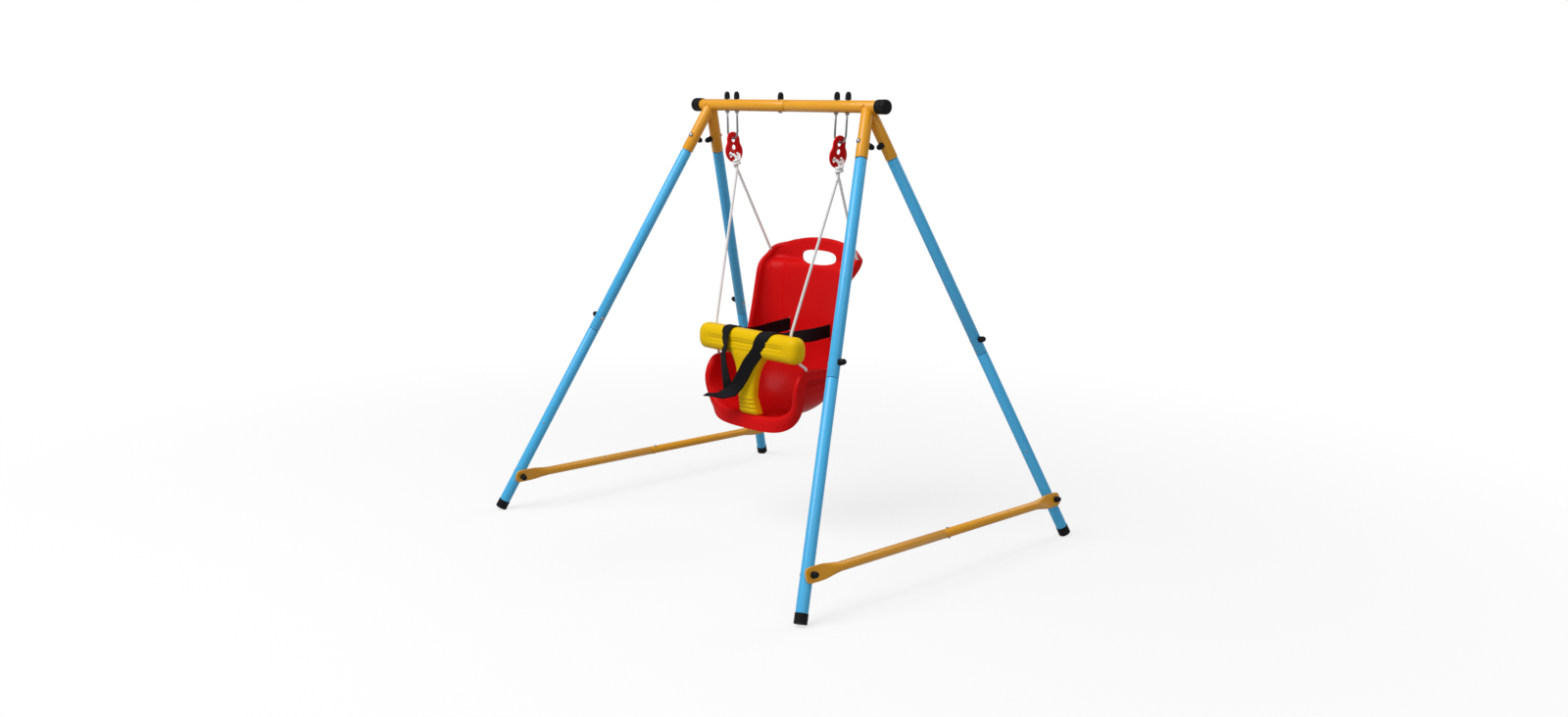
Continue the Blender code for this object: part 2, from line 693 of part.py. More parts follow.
def rolled_rim(bm, border, radii):
    """Extrude a border into a rolled rim: over the edge, outwards and back down.

    Where the shell lies flat, at the front lip, the rim hangs straight down instead.
    """
    count = len(border)
    frames = []
    for k, vert in enumerate(border):
        along = (border[(k + 1) % count].co - border[k - 1].co).normalized()
        normal = vert.normal.copy()
        outward = along.cross(normal).normalized()
        frames.append((vert.co.copy(), outward, normal, radii[k]))
    side_roll = ((0.70, 0.30), (1.00, 1.00), (0.70, 1.60), (-1.60, 1.90))
    lip_roll = ((0.70, 0.30), (1.00, 1.00), (1.05, 2.20), (0.95, 3.60))
    ring = list(border)
    for side_step, lip_step in zip(side_roll, lip_roll):
        fresh = []
        for start, outward, normal, radius in frames:
            lip = min(max(normal.z, 0.0), 1.0)
            reach = side_step[0] + (lip_step[0] - side_step[0]) * lip
            drop = side_step[1] + (lip_step[1] - side_step[1]) * lip
            fresh.append(bm.verts.new(start + outward * reach * radius - normal * drop * radius))
        for k in range(count):
            after = (k + 1) % count
            bm.faces.new((ring[k], ring[after], fresh[after], fresh[k]))
        ring = fresh


def build_seat():
    """Build the bucket seat's shell: a formed sheet with a rolled rim, given its thickness."""
    controls = seat_stations()
    rows, columns = 22, 18
    bm = bmesh.new()
    bmesh.ops.create_grid(bm, x_segments=columns, y_segments=rows, size=1.0)
    grid = {}
    radii = {}
    for vert in bm.verts:
        across = vert.co.x
        i = round((vert.co.y + 1) / 2 * rows)
        j = round((across + 1) / 2 * columns)
        station = blend_points(controls, i / rows * (len(controls) - 1))
        vert.co = seat_point(station, j / columns * 2 - 1)
        grid[i, j] = vert
        radii[vert] = station[6]
    bmesh.ops.recalc_face_normals(bm, faces=bm.faces)
    bm.normal_update()
    middle = grid[3, columns // 2]
    if middle.normal.z < 0:
        bmesh.ops.reverse_faces(bm, faces=bm.faces)
        bm.normal_update()
    border = [grid[0, j] for j in range(columns + 1)]
    border += [grid[i, columns] for i in range(1, rows + 1)]
    border += [grid[rows, j] for j in range(columns - 1, -1, -1)]
    border += [grid[i, 0] for i in range(rows - 1, 0, -1)]
    rolled_rim(bm, border, [radii[vert] for vert in border])
    bmesh.ops.recalc_face_normals(bm, faces=bm.faces)
    bm.normal_update()
    if middle.normal.z < 0:
        bmesh.ops.reverse_faces(bm, faces=bm.faces)
    mesh = bpy.data.meshes.new("seat_shell")
    bm.to_mesh(mesh)
    bm.free()
    seat = finish_object("seat_shell", mesh, "red")
    wall = seat.modifiers.new("wall", "SOLIDIFY")
    wall.thickness = SEAT_WALL
    wall.offset = -1.0
    wall.use_even_offset = True
    wall.use_quality_normals = True
    cut_seat(seat)


def cut_seat(seat):
    """Cut the hand hole, the belt slots and the rope holes into the shell."""
    hole_ring = []
    for i in range(20):
        hole_ring.append(superellipse(2 * math.pi * i / 20, 0.070, 0.024, 0.72))
    rings = [[(x, y, HAND_HOLE_Z + z) for x, z in hole_ring] for y in (0.120, 0.190)]
    combine(seat, loft("hand_hole", rings, None), "DIFFERENCE")
    for word, side in SIDES:
        slot = box("belt_slot_" + word, (side * BELT_SLOT_X - 0.003, 0.100, BELT_SLOT_Z - 0.021),
                   (side * BELT_SLOT_X + 0.003, 0.150, BELT_SLOT_Z + 0.021))
        combine(seat, slot, "DIFFERENCE")
        arm = Vector((side * ARM_HOLE.x, ARM_HOLE.y, ARM_HOLE.z))
        drill(seat, "arm_hole_" + word, arm - Vector((0, 0, 0.012)), arm + Vector((0, 0, 0.012)),
              ROPE_R + 0.0012)
        shoulder, path = shoulder_line(side)
        drill(seat, "shoulder_hole_" + word, shoulder - path * 0.022, shoulder + path * 0.020,
              ROPE_R + 0.0013)


def knot_wrap(side):
    """Return the back strand's turns round the front strand, beside the plate's face."""
    place = plate_place(side)
    points = []
    for i in range(int(10 * KNOT_TURNS) + 1):
        angle = math.pi / 2 - 2 * math.pi * i / 10
        points.append(place @ (KNOT_CENTRE + Vector((KNOT_R * math.cos(angle), KNOT_R * math.sin(angle),
                                                     0.004 - KNOT_PITCH * i / 10))))
    return points


def shoulder_line(side):
    """Return the rope hole in the backrest's shoulder and the back strand's direction there."""
    shoulder = Vector((side * SHOULDER_HOLE.x, SHOULDER_HOLE.y, SHOULDER_HOLE.z))
    return shoulder, (shoulder - knot_wrap(side)[-1]).normalized()


def build_ropes():
    """Build one rope a side: seat arm, T-bar, plate and backrest, with its knots."""
    low_hole = PLATE_TOP_Z - 2 * PLATE_PITCH
    inset = ROPE_HOLE_HALF - 0.001
    for word, side in SIDES:
        place = plate_place(side)
        arm = Vector((side * ARM_HOLE.x, ARM_HOLE.y, ARM_HOLE.z))
        shoulder, path = shoulder_line(side)
        front = rounded_path([
            arm - Vector((0, 0, 0.006)),
            arm + Vector((0, 0, 0.006)),
            Vector((side * TBAR_ROPE_X, TBAR_ROPE_Y, TBAR_Z - TBAR_HALF[2] - 0.004)),
            Vector((side * TBAR_ROPE_X, TBAR_ROPE_Y, TBAR_Z + TBAR_HALF[2] + 0.004)),
            place @ (KNOT_CENTRE - Vector((0, 0, 0.020))),
            place @ (KNOT_CENTRE + Vector((0, 0, 0.009))),
            place @ Vector((0.0110, -inset, low_hole)),
            place @ Vector((-STRAND_X, -inset, low_hole)),
            place @ Vector((-STRAND_X, inset, low_hole)),
            place @ Vector((0.0110, inset, low_hole)),
            place @ (KNOT_CENTRE + Vector((-0.001, KNOT_R + 0.003, 0.009))),
        ], 0.007, 3)
        wrap = knot_wrap(side)
        body = front + wrap
        body += [wrap[-1] + path * 0.02 + Vector((0, 0.002, 0)), shoulder + path * 0.005]
        points = [arm - Vector((0, 0, 0.020)), arm - Vector((0, 0, 0.018)), arm - Vector((0, 0, 0.011)),
                  arm - Vector((0, 0, 0.008))]
        radii = [0.6, 1.45, 1.45, 1.0]
        points += body
        radii += [1.0] * len(body)
        points += [shoulder + path * 0.007, shoulder + path * 0.013, shoulder + path * 0.015]
        radii += [1.15, 1.15, 0.6]
        curve_mesh("rope_" + word, points, ROPE_R, "rope", 1, radii)


def build_t_bar():
    """Build the restraint: a fat rounded bar over a tapered stem with a ribbed foot."""
    half_x, half_y, half_z = TBAR_HALF
    end_r = 0.026
    rings = []
    for i in range(13):
        if i < 6:
            angle = math.radians(-88 + 88 * i / 5)
            x, shrink = -half_x + end_r + end_r * math.sin(angle), math.cos(angle) ** 0.7
        elif i == 6:
            x, shrink = 0.0, 1.0
        else:
            angle = math.radians(88 * (i - 7) / 5)
            x, shrink = half_x - end_r + end_r * math.sin(angle), math.cos(angle) ** 0.7
        ring = []
        for k in range(16):
            y, z = superellipse(2 * math.pi * k / 16, half_y * shrink, half_z * shrink, 0.72)
            ring.append((x, TBAR_Y + y, TBAR_Z + z))
        rings.append(ring)
    bar = loft("t_bar", rings, "tbar")
    sections = [
        (0.552, 0.080, 0.0170, -0.1210),
        (0.522, 0.070, 0.0170, -0.1230),
        (0.505, 0.055, 0.0168, -0.1250),
        (0.486, 0.046, 0.0165, -0.1265),
        (0.460, 0.039, 0.0165, -0.1270),
        (0.430, 0.034, 0.0165, -0.1270),
        (0.408, 0.032, 0.0165, -0.1260),
    ]
    for k in range(8):
        swell = 0.0030 if k % 2 == 0 else 0.0
        share = k / 7
        sections.append((0.402 - 0.040 * share, 0.032 + 0.006 * share, 0.0165 + 0.002 * share + swell / 2,
                         -0.1255 + 0.012 * share - swell / 2))
    sections.append((0.3540, 0.0370, 0.0175, -0.1120))
    sections.append((0.3520, 0.0330, 0.0140, -0.1115))
    rings = []
    for z, half_width, half_depth, y in sections:
        ring = []
        for k in range(14):
            px, py = superellipse(2 * math.pi * (k + 0.5) / 14, half_width, half_depth, 0.55)
            ring.append((px, y + py, z))
        rings.append(ring)
    combine(bar, loft("t_bar_stem", rings, None), "UNION")
    for word, side in SIDES:
        x = side * TBAR_ROPE_X
        drill(bar, "t_bar_hole_" + word, (x, TBAR_ROPE_Y, TBAR_Z - 0.06), (x, TBAR_ROPE_Y, TBAR_Z + 0.06),
              ROPE_R + 0.0016)


def ribbon(name, points, widths, half_width=BELT_HALF_WIDTH):
    """Make a flat strap along points; widths gives the direction across it at each one."""
    points = [Vector(point) for point in points]
    rings = []
    for k, point in enumerate(points):
        ahead = points[min(k + 1, len(points) - 1)] - points[max(k - 1, 0)]
        across = Vector(widths[k])
        across = (across - ahead.normalized() * across.dot(ahead.normalized())).normalized()
        face = ahead.normalized().cross(across) * BELT_THICK / 2
        side = across * half_width
        rings.append([point - side - face, point + side - face, point + side + face, point - side + face])
    return loft(name, rings, "webbing")


def over_bar(x_start, x_end, first, last, count, lift):
    """Return the points of a strap that lies over the T-bar between two angles."""
    points = []
    for i in range(count + 1):
        share = i / count
        angle = math.radians(first + (last - first) * share)
        y, z = superellipse(angle, TBAR_HALF[1] + lift, TBAR_HALF[2] + lift, 0.72)
        points.append(Vector((x_start + (x_end - x_start) * share ** 2, TBAR_Y + y, TBAR_Z + z)))
    return points


def build_belt():
    """Build the lap belt: one strap behind the seat, and the two ends over the T-bar."""
    lift = 0.0030
    left = over_bar(-0.078, -0.076, 50, 195, 10, lift)
    left += [Vector((-0.070, -0.1510, 0.505)), Vector((-0.062, -0.1525, 0.458)),
             Vector((-0.055, -0.1535, 0.420))]
    ribbon("belt_front_left", left, [(1, 0, 0)] * len(left))
    right = over_bar(0.092, 0.058, 50, 195, 10, lift)
    right += [Vector((0.026, -0.1545, 0.500)), Vector((-0.004, -0.1580, 0.454)),
              Vector((-0.030, -0.1635, 0.424)), Vector((-0.052, -0.1745, 0.409)),
              Vector((-0.078, -0.1860, 0.403)), Vector((-0.104, -0.2020, 0.402))]
    widths = [(1, 0, 0)] * 11 + [(0.8, 0, 0.6), (0.75, 0, 0.65), (0.65, -0.2, 0.75), (0.5, -0.7, 0.5),
                                (0.6, -0.8, 0.1), (0.6, -0.8, 0.0)]
    ribbon("belt_front_right", right, widths)
    rear = []
    widths = []
    start = left[0] + Vector((0, 0.0035, -0.0006))
    stations = (0.0, 0.12, 0.30, 0.50, 0.72, 0.93)
    slot = Vector((-BELT_SLOT_X, 0.112, BELT_SLOT_Z))
    for share in stations:
        sag = -0.010 * math.sin(math.pi * share)
        rear.append(start.lerp(slot, share) + Vector((0, 0, sag)))
        widths.append(Vector((1, 0, 0)).lerp(Vector((0.0, 0.0, 1.0)), min(share * 1.25, 1.0)))
    behind = [Vector((-BELT_SLOT_X, 0.120, BELT_SLOT_Z)), Vector((-BELT_SLOT_X, 0.1255, BELT_SLOT_Z)),
              Vector((-BELT_SLOT_X + 0.0030, 0.1290, BELT_SLOT_Z)),
              Vector((-BELT_SLOT_X + 0.010, 0.1305, BELT_SLOT_Z)), Vector((0.0, 0.1325, BELT_SLOT_Z))]
    rear += behind
    widths += [Vector((0, 0, 1))] * len(behind)
    other = right[0] + Vector((0, 0.0035, -0.0006))
    far = []
    far_widths = []
    slot = Vector((BELT_SLOT_X, 0.112, BELT_SLOT_Z))
    for share in stations:
        sag = -0.010 * math.sin(math.pi * share)
        far.append(other.lerp(slot, share) + Vector((0, 0, sag)))
        far_widths.append(Vector((-1, 0, 0)).lerp(Vector((0.0, 0.0, 1.0)), min(share * 1.25, 1.0)))
    mirrored = [Vector((-point.x, point.y, point.z)) for point in behind[:-1]]
    rear += list(reversed(mirrored)) + list(reversed(far))
    widths += [Vector((0, 0, 1))] * len(mirrored) + list(reversed(far_widths))
    ribbon("belt_rear", rear, widths)


def knot_gap(side):
    """Return the least gap between a knot's turns and the strand inside them."""
    turns = knot_wrap(side)
    place = plate_place(side)
    low = place @ (KNOT_CENTRE - Vector((0, 0, 0.020)))
    ahead = (place @ (KNOT_CENTRE + Vector((0, 0, 0.009))) - low).normalized()
    to_strand = min((point - low - ahead * (point - low).dot(ahead)).length for point in turns)
    to_turns = min((turns[i] - turns[j]).length for i in range(len(turns)) for j in range(i - 7))
    return min(to_strand, to_turns) - 2 * ROPE_R


def hang_on(name, place, pieces):
    """Parent moving pieces to an empty on their joint's axis."""
    pivot = bpy.data.objects.new(name, None)
    pivot.location = place
    PARTS.objects.link(pivot)
    for piece in pieces:
        body = bpy.data.objects[piece]
        body.parent = pivot
        body.matrix_parent_inverse = Matrix.Translation(place).inverted()


def main():
    """Build every piece in turn."""
    build_top_bar()
    build_bar_ends()
    build_legs()
    build_leg_bolts()
    build_crossbars()
    build_hangers()
    build_seat()
    build_ropes()
    build_t_bar()
    build_belt()
    bend = hanger_place(1) @ Vector((0, 0, BEND_Z - HANGER_HALF))
    hang_on("swing_pivot", Vector((0, 0, bend.z)), ["rope_plate_left", "rope_plate_right", "rope_left",
                                                     "rope_right", "seat_shell", "belt_rear"])
    hang_on("t_bar_slide_start", Vector((0, TBAR_Y, TBAR_Z)), ["t_bar", "belt_front_left",
                                                               "belt_front_right"])
    for word, side in SIDES:
        print("Least gap in the %s knot: %.2f mm" % (word, knot_gap(side) * 1000))


main()
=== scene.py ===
"""Looks of the toddler swing set: round tubes, moulded seat and restraint bar, ropes, lap belt and studio.

Metres, +Z up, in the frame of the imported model. The top bar runs along X and the child faces -Y.
"""

import logging
import math
from collections.abc import Callable, Sequence
from dataclasses import dataclass, field
from enum import Enum

import bmesh
import bpy
from mathutils import Matrix, Vector


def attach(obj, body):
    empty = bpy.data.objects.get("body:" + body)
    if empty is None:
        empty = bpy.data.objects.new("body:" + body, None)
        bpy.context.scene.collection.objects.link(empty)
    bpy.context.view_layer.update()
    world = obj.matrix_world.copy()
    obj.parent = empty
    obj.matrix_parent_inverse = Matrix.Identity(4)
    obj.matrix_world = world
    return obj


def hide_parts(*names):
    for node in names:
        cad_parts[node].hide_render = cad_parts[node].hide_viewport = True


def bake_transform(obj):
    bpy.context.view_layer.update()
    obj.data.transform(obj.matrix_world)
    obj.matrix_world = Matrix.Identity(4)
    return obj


LOG = logging.getLogger("swing_set")
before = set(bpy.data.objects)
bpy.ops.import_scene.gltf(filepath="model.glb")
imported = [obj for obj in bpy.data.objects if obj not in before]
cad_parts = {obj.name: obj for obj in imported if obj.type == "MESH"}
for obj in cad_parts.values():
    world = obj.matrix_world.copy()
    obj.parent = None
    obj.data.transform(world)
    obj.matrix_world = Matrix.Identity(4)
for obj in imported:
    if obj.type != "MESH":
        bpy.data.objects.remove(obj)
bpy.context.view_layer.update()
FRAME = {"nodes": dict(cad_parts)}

Color = tuple[float, float, float]
Outline = Callable[[float], Vector]


class Body(Enum):
    """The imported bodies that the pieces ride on."""

    FRAME = "frame"
    SWING = "swing"
    LIFT = "t_bar_lift"


class Side(Enum):
    """The two sides of the set, as signs of X."""

    LEFT = -1
    RIGHT = 1

    @property
    def word(self) -> str:
        """Return the side's word in the nodes' names."""
        return self.name.lower()


class Corner(Enum):
    """The four legs, each by its sign of X and of Y."""

    FRONT_LEFT = (-1, -1)
    FRONT_RIGHT = (1, -1)
    REAR_LEFT = (-1, 1)
    REAR_RIGHT = (1, 1)

    @property
    def word(self) -> str:
        """Return the corner's word in the nodes' names."""
        return self.name.lower()


class Wire:
    """A shader socket that takes part in Python arithmetic."""

    def __init__(self, shader: "Shader", socket: bpy.types.NodeSocket) -> None:
        """Wrap a socket.

        Args:
            shader: The material that the socket belongs to.
            socket: The node's output.
        """
        self.shader = shader
        self.socket = socket

    def _maths(self, operation: str, *values: "Wire | float") -> "Wire":
        """Return a Math node's output."""
        return self.shader.node("ShaderNodeMath", {"operation": operation}, dict(enumerate(values)))

    def __add__(self, other: "Wire | float") -> "Wire":
        """Return self + other."""
        return self._maths("ADD", self, other)

    __radd__ = __add__

    def __sub__(self, other: "Wire | float") -> "Wire":
        """Return self - other."""
        return self._maths("SUBTRACT", self, other)

    def __rsub__(self, other: "Wire | float") -> "Wire":
        """Return other - self."""
        return self._maths("SUBTRACT", other, self)

    def __mul__(self, other: "Wire | float") -> "Wire":
        """Return self * other."""
        return self._maths("MULTIPLY", self, other)

    __rmul__ = __mul__

    def __pow__(self, power: float) -> "Wire":
        """Return self to a power."""
        return self._maths("POWER", self, power)

    def __abs__(self) -> "Wire":
        """Return the value without its sign."""
        return self._maths("ABSOLUTE", self)

    def sine(self) -> "Wire":
        """Return the sine."""
        return self._maths("SINE", self)

    def fraction(self) -> "Wire":
        """Return the part after the point."""
        return self._maths("FRACT", self)

    def band(self, low: float, high: float) -> "Wire":
        """Return a smooth step.

        Args:
            low: The value that gives 0.
            high: The value that gives 1.

        Returns:
            The step's output.
        """
        return self.shader.node("ShaderNodeMapRange", {"interpolation_type": "SMOOTHSTEP"},
                                {"Value": self, "From Min": low, "From Max": high})


class Shader:
    """A material with one Principled surface, built node by node."""

    def __init__(self, name: str) -> None:
        """Start a material.

        Args:
            name: The material's name.
        """
        self.material = bpy.data.materials.new(name)
        self.material.use_nodes = True
        self.tree = self.material.node_tree
        self.surface = self.tree.nodes["Principled BSDF"]

    def node(self, kind: str, settings: dict | None = None, inputs: dict | None = None,
             output: int | str = 0) -> Wire:
        """Add a node.

        Args:
            kind: The node's type.
            settings: The node's own settings, set first.
            inputs: Values or wires for its sockets, by name or number.
            output: The output to return.

        Returns:
            The output, wrapped.
        """
        made = self.tree.nodes.new(kind)
        for name, value in (settings or {}).items():
            setattr(made, name, value)
        for name, value in (inputs or {}).items():
            self.feed(made.inputs[name], value)
        return Wire(self, made.outputs[output])

    def feed(self, socket: bpy.types.NodeSocket, value: "Wire | float | tuple") -> None:
        """Link a wire to a socket, or set the socket's value."""
        if isinstance(value, Wire):
            self.tree.links.new(value.socket, socket)
        else:
            socket.default_value = value

    def place(self, stretch: Color = (1.0, 1.0, 1.0)) -> Wire:
        """Return the point on the piece, stretched along the axes."""
        point = self.node("ShaderNodeTexCoord", output="Object")
        return self.node("ShaderNodeVectorMath", {"operation": "MULTIPLY"}, {0: point, 1: stretch})

    def across_along(self) -> tuple[Wire, Wire]:
        """Return the piece's own two coordinates: round or across it, and along it in metres."""
        chart = self.node("ShaderNodeUVMap", {"uv_map": "UVMap"})
        return tuple(self.node("ShaderNodeSeparateXYZ", inputs={0: chart}, output=axis) for axis in "XY")

    def noise(self, point: Wire, scale: float, detail: float = 2.0) -> Wire:
        """Return cloudy noise from 0 to 1 at a point."""
        return self.node("ShaderNodeTexNoise", None, {"Vector": point, "Scale": scale, "Detail": detail})

    def blend(self, share: Wire, low: Color, high: Color) -> Wire:
        """Return a colour between two.

        Args:
            share: 0 for the low colour and 1 for the high one.
            low: The first colour.
            high: The second colour.

        Returns:
            The mixed colour.
        """
        return self.node("ShaderNodeMix", {"data_type": "RGBA"}, {0: share, 6: (*low, 1.0), 7: (*high, 1.0)}, 2)

    def bump(self, height: Wire, strength: float, distance: float) -> Wire:
        """Return a normal from a height.

        Args:
            height: The height, from 0 to 1.
            strength: How much of the bump shows.
            distance: The height of 1, in metres.

        Returns:
            The bumped normal.
        """
        return self.node("ShaderNodeBump", None, {"Height": height, "Strength": strength, "Distance": distance})

    def dress(self, **sockets: "Wire | float | tuple") -> bpy.types.Material:
        """Feed the surface's sockets, with _ for a space in a name, and return the material."""
        for name, value in sockets.items():
            self.feed(self.surface.inputs[name.replace("_", " ")], value)
        return self.material


def shade(color: Color, share: float) -> Color:
    """Return a colour made lighter or darker by a factor."""
    return tuple(min(channel * share, 1.0) for channel in color)


@dataclass(frozen=True)
class PowderCoat:
    """Gloss powder coat on steel tube, with orange peel, drifting shade and fine scuffs."""

    name: str
    color: Color
    slot: str
    roughness: float = 0.30

    def material(self) -> bpy.types.Material:
        """Return the finish as a material."""
        shader = Shader(self.name)
        point = shader.place()
        drift = shader.noise(point, 7.0, 3.0)
        peel = shader.noise(point, 520.0, 1.0)
        scuff = shader.noise(shader.place((1.0, 1.0, 0.12)), 260.0, 4.0).band(0.70, 0.78)
        worn = scuff * shader.noise(point, 18.0).band(0.5, 0.7)
        color = shader.blend(drift, shade(self.color, 0.92), shade(self.color, 1.07))
        return shader.dress(
            Base_Color=color,
            Roughness=self.roughness + drift * 0.08 + worn * 0.25,
            Normal=shader.bump(peel, 0.025, 0.0003),
            Coat_Weight=0.20,
            Coat_Roughness=0.15,
            Specular_IOR_Level=0.35,
        )


@dataclass(frozen=True)
class MouldedPlastic:
    """Blow-moulded polyethylene: a soft sheen over fine grain, with slow waves in the wall."""

    name: str
    color: Color
    slot: str
    roughness: float = 0.28
    grain: float = 0.12

    def material(self) -> bpy.types.Material:
        """Return the finish as a material."""
        shader = Shader(self.name)
        point = shader.place()
        cloud = shader.noise(point, 9.0, 4.0)
        grain = shader.noise(point, 1400.0, 2.0)
        wave = shader.noise(point, 22.0, 1.0)
        rubbed = shader.noise(point, 60.0, 5.0).band(0.60, 0.72)
        color = shader.blend(cloud, shade(self.color, 0.90), shade(self.color, 1.08))
        return shader.dress(
            Base_Color=color,
            Roughness=self.roughness + cloud * 0.08 + rubbed * 0.08,
            Normal=shader.bump(grain * 0.25 + wave * 0.75, self.grain, 0.0012),
            Specular_IOR_Level=0.08,
        )


@dataclass(frozen=True)
class ZincPlate:
    """Bright zinc on small steel parts: brushed, with a few dull patches."""

    name: str
    slot: str
    color: Color = (0.34, 0.345, 0.36)

    def material(self) -> bpy.types.Material:
        """Return the finish as a material."""
        shader = Shader(self.name)
        patch = shader.noise(shader.place(), 160.0, 3.0)
        brush = shader.noise(shader.place((1.0, 1.0, 0.1)), 2200.0, 2.0)
        color = shader.blend(patch, shade(self.color, 0.82), shade(self.color, 1.1))
        return shader.dress(
            Base_Color=color,
            Metallic=1.0,
            Roughness=0.22 + patch * 0.18,
            Normal=shader.bump(brush, 0.15, 0.0002),
        )


@dataclass(frozen=True)
class BraidedRope:
    """Braided polyester rope: two crossing sets of strands over a soft fuzz."""

    name: str
    slot: str
    color: Color = (0.96, 0.95, 0.94)
    strands: int = 4
    pitch: float = 0.0090

    def material(self) -> bpy.types.Material:
        """Return the finish as a material."""
        shader = Shader(self.name)
        around, along = shader.across_along()
        lay = along * (1.0 / self.pitch)
        right = abs((math.pi * (lay + around * self.strands)).sine())
        left = abs((math.pi * (lay - around * self.strands)).sine())
        braid = (right * left) ** 0.5
        fuzz = shader.noise(shader.place(), 3200.0, 3.0)
        dirt = shader.noise(shader.place(), 40.0, 3.0)
        # Painted shade: the colour is darker in the grooves between the strands, and the dirt noise adds a real random
        # tone.
        color = shader.blend(braid * 0.8 + dirt * 0.2, shade(self.color, 0.88), self.color)
        return shader.dress(
            Base_Color=color,
            Roughness=0.78 + fuzz * 0.15,
            Normal=shader.bump(braid * 0.8 + fuzz * 0.2, 0.4, 0.0007),
            Sheen_Weight=0.25,
        )


@dataclass(frozen=True)
class Webbing:
    """Woven polypropylene webbing: herringbone ribs with denser edges."""

    name: str
    slot: str
    color: Color = (0.006, 0.006, 0.007)
    ribs: int = 8
    pitch: float = 0.0026

    def material(self) -> bpy.types.Material:
        """Return the finish as a material."""
        shader = Shader(self.name)
        across, along = shader.across_along()
        zigzag = abs((across * self.ribs).fraction() - 0.5) * 1.6
        twill = abs((math.pi * (along * (1.0 / self.pitch) + zigzag)).sine())
        rib = abs((math.pi * self.ribs * across).sine()) ** 0.35
        edge = abs(across - 0.5).band(0.44, 0.48)
        height = twill * 0.5 * (1.0 - edge) + rib * 0.5
        fuzz = shader.noise(shader.place(), 2600.0, 2.0)
        # Painted shade and painted highlight: the weave's grooves are darker and its raised ribs lighter.
        color = shader.blend(height, shade(self.color, 0.45), shade(self.color, 1.9))
        return shader.dress(
            Base_Color=color,
            Roughness=0.62 + fuzz * 0.2,
            Normal=shader.bump(height * 0.85 + fuzz * 0.15, 0.7, 0.0005),
            Specular_IOR_Level=0.12,
        )


YELLOW_TUBE = PowderCoat("yellow_powder_coat", (0.84, 0.37, 0.014), "yellow_tube")
BLUE_TUBE = PowderCoat("blue_powder_coat", (0.072, 0.50, 0.90), "blue_tube")
RED_SHELL = MouldedPlastic("red_moulding", (0.70, 0.006, 0.007), "red_plastic")
YELLOW_BAR = MouldedPlastic("yellow_moulding", (0.89, 0.565, 0.003), "yellow_plastic", 0.28, 0.07)
BLACK_CAP = MouldedPlastic("black_moulding", (0.012, 0.012, 0.014), "black_plastic", 0.38, 0.2)
ZINC = ZincPlate("bright_zinc", "zinc_steel")
ROPE_FINISH = BraidedRope("braided_rope", "white_rope")
WEBBING_FINISH = Webbing("black_webbing", "black_webbing")
Finish = PowderCoat | MouldedPlastic | ZincPlate | BraidedRope | Webbing


def superellipse(angle: float, half_a: float, half_b: float, power: float) -> tuple[float, float]:
    """Return a point of a rounded outline.

    Args:
        angle: The angle round the outline, in radians.
        half_a: Half the first side.
        half_b: Half the second side.
        power: 1 for an ellipse, and towards 0 for a rectangle.

    Returns:
        The point's two coordinates.
    """
    cosine, sine = math.cos(angle), math.sin(angle)
    return (half_a * math.copysign(abs(cosine) ** power, cosine),
            half_b * math.copysign(abs(sine) ** power, sine))


def read_curve(controls: Sequence[Sequence[float]], position: float) -> list[float]:
    """Read a smooth curve through control points.

    Args:
        controls: Points of any number of values.
        position: From 0 to the number of points less one.

    Returns:
        The values there.
    """
    last = len(controls) - 1
    i = min(int(position), last - 1)
    t = position - i
    near = (controls[max(i - 1, 0)], controls[i], controls[i + 1], controls[min(i + 2, last)])
    return [0.5 * (2 * b + (c - a) * t + (2 * a - 5 * b + 4 * c - d) * t * t + (3 * b - a - 3 * c + d) * t ** 3)
            for a, b, c, d in zip(*near)]


def rounded_path(corners: Sequence[Vector], radius: float, steps: int) -> list[Vector]:
    """Return a route whose inner corners are replaced by curves.

    Args:
        corners: The route's corners.
        radius: How far before a corner its curve starts.
        steps: The number of steps in a curve.

    Returns:
        The route's points.
    """
    path = [corners[0]]
    for before, corner, after in zip(corners, corners[1:], corners[2:]):
        back, ahead = before - corner, after - corner
        reach = min(radius, back.length * 0.45, ahead.length * 0.45)
        start = corner + back.normalized() * reach
        end = corner + ahead.normalized() * reach
        for i in range(steps + 1):
            t = i / steps
            path.append(start * (1 - t) ** 2 + corner * 2 * t * (1 - t) + end * t * t)
    path.append(corners[-1])
    return path


def even_path(points: Sequence[Vector], spacing: float) -> list[Vector]:
    """Return a smooth route with points about evenly spaced along it.

    Args:
        points: The route's points.
        spacing: The distance wanted between points.

    Returns:
        The finer route.
    """
    fine = []
    for i in range(len(points) - 1):
        count = max(1, round((points[i + 1] - points[i]).length / spacing))
        fine += [Vector(read_curve(points, i + k / count)) for k in range(count)]
    return fine + [points[-1].copy()]


def axis_matrix(start: Vector, direction: Vector) -> Matrix:
    """Return a matrix that puts local +Z on a direction, with its origin at start."""
    turn = Vector((0, 0, 1)).rotation_difference(Vector(direction).normalized())
    return Matrix.Translation(start) @ turn.to_matrix().to_4x4()


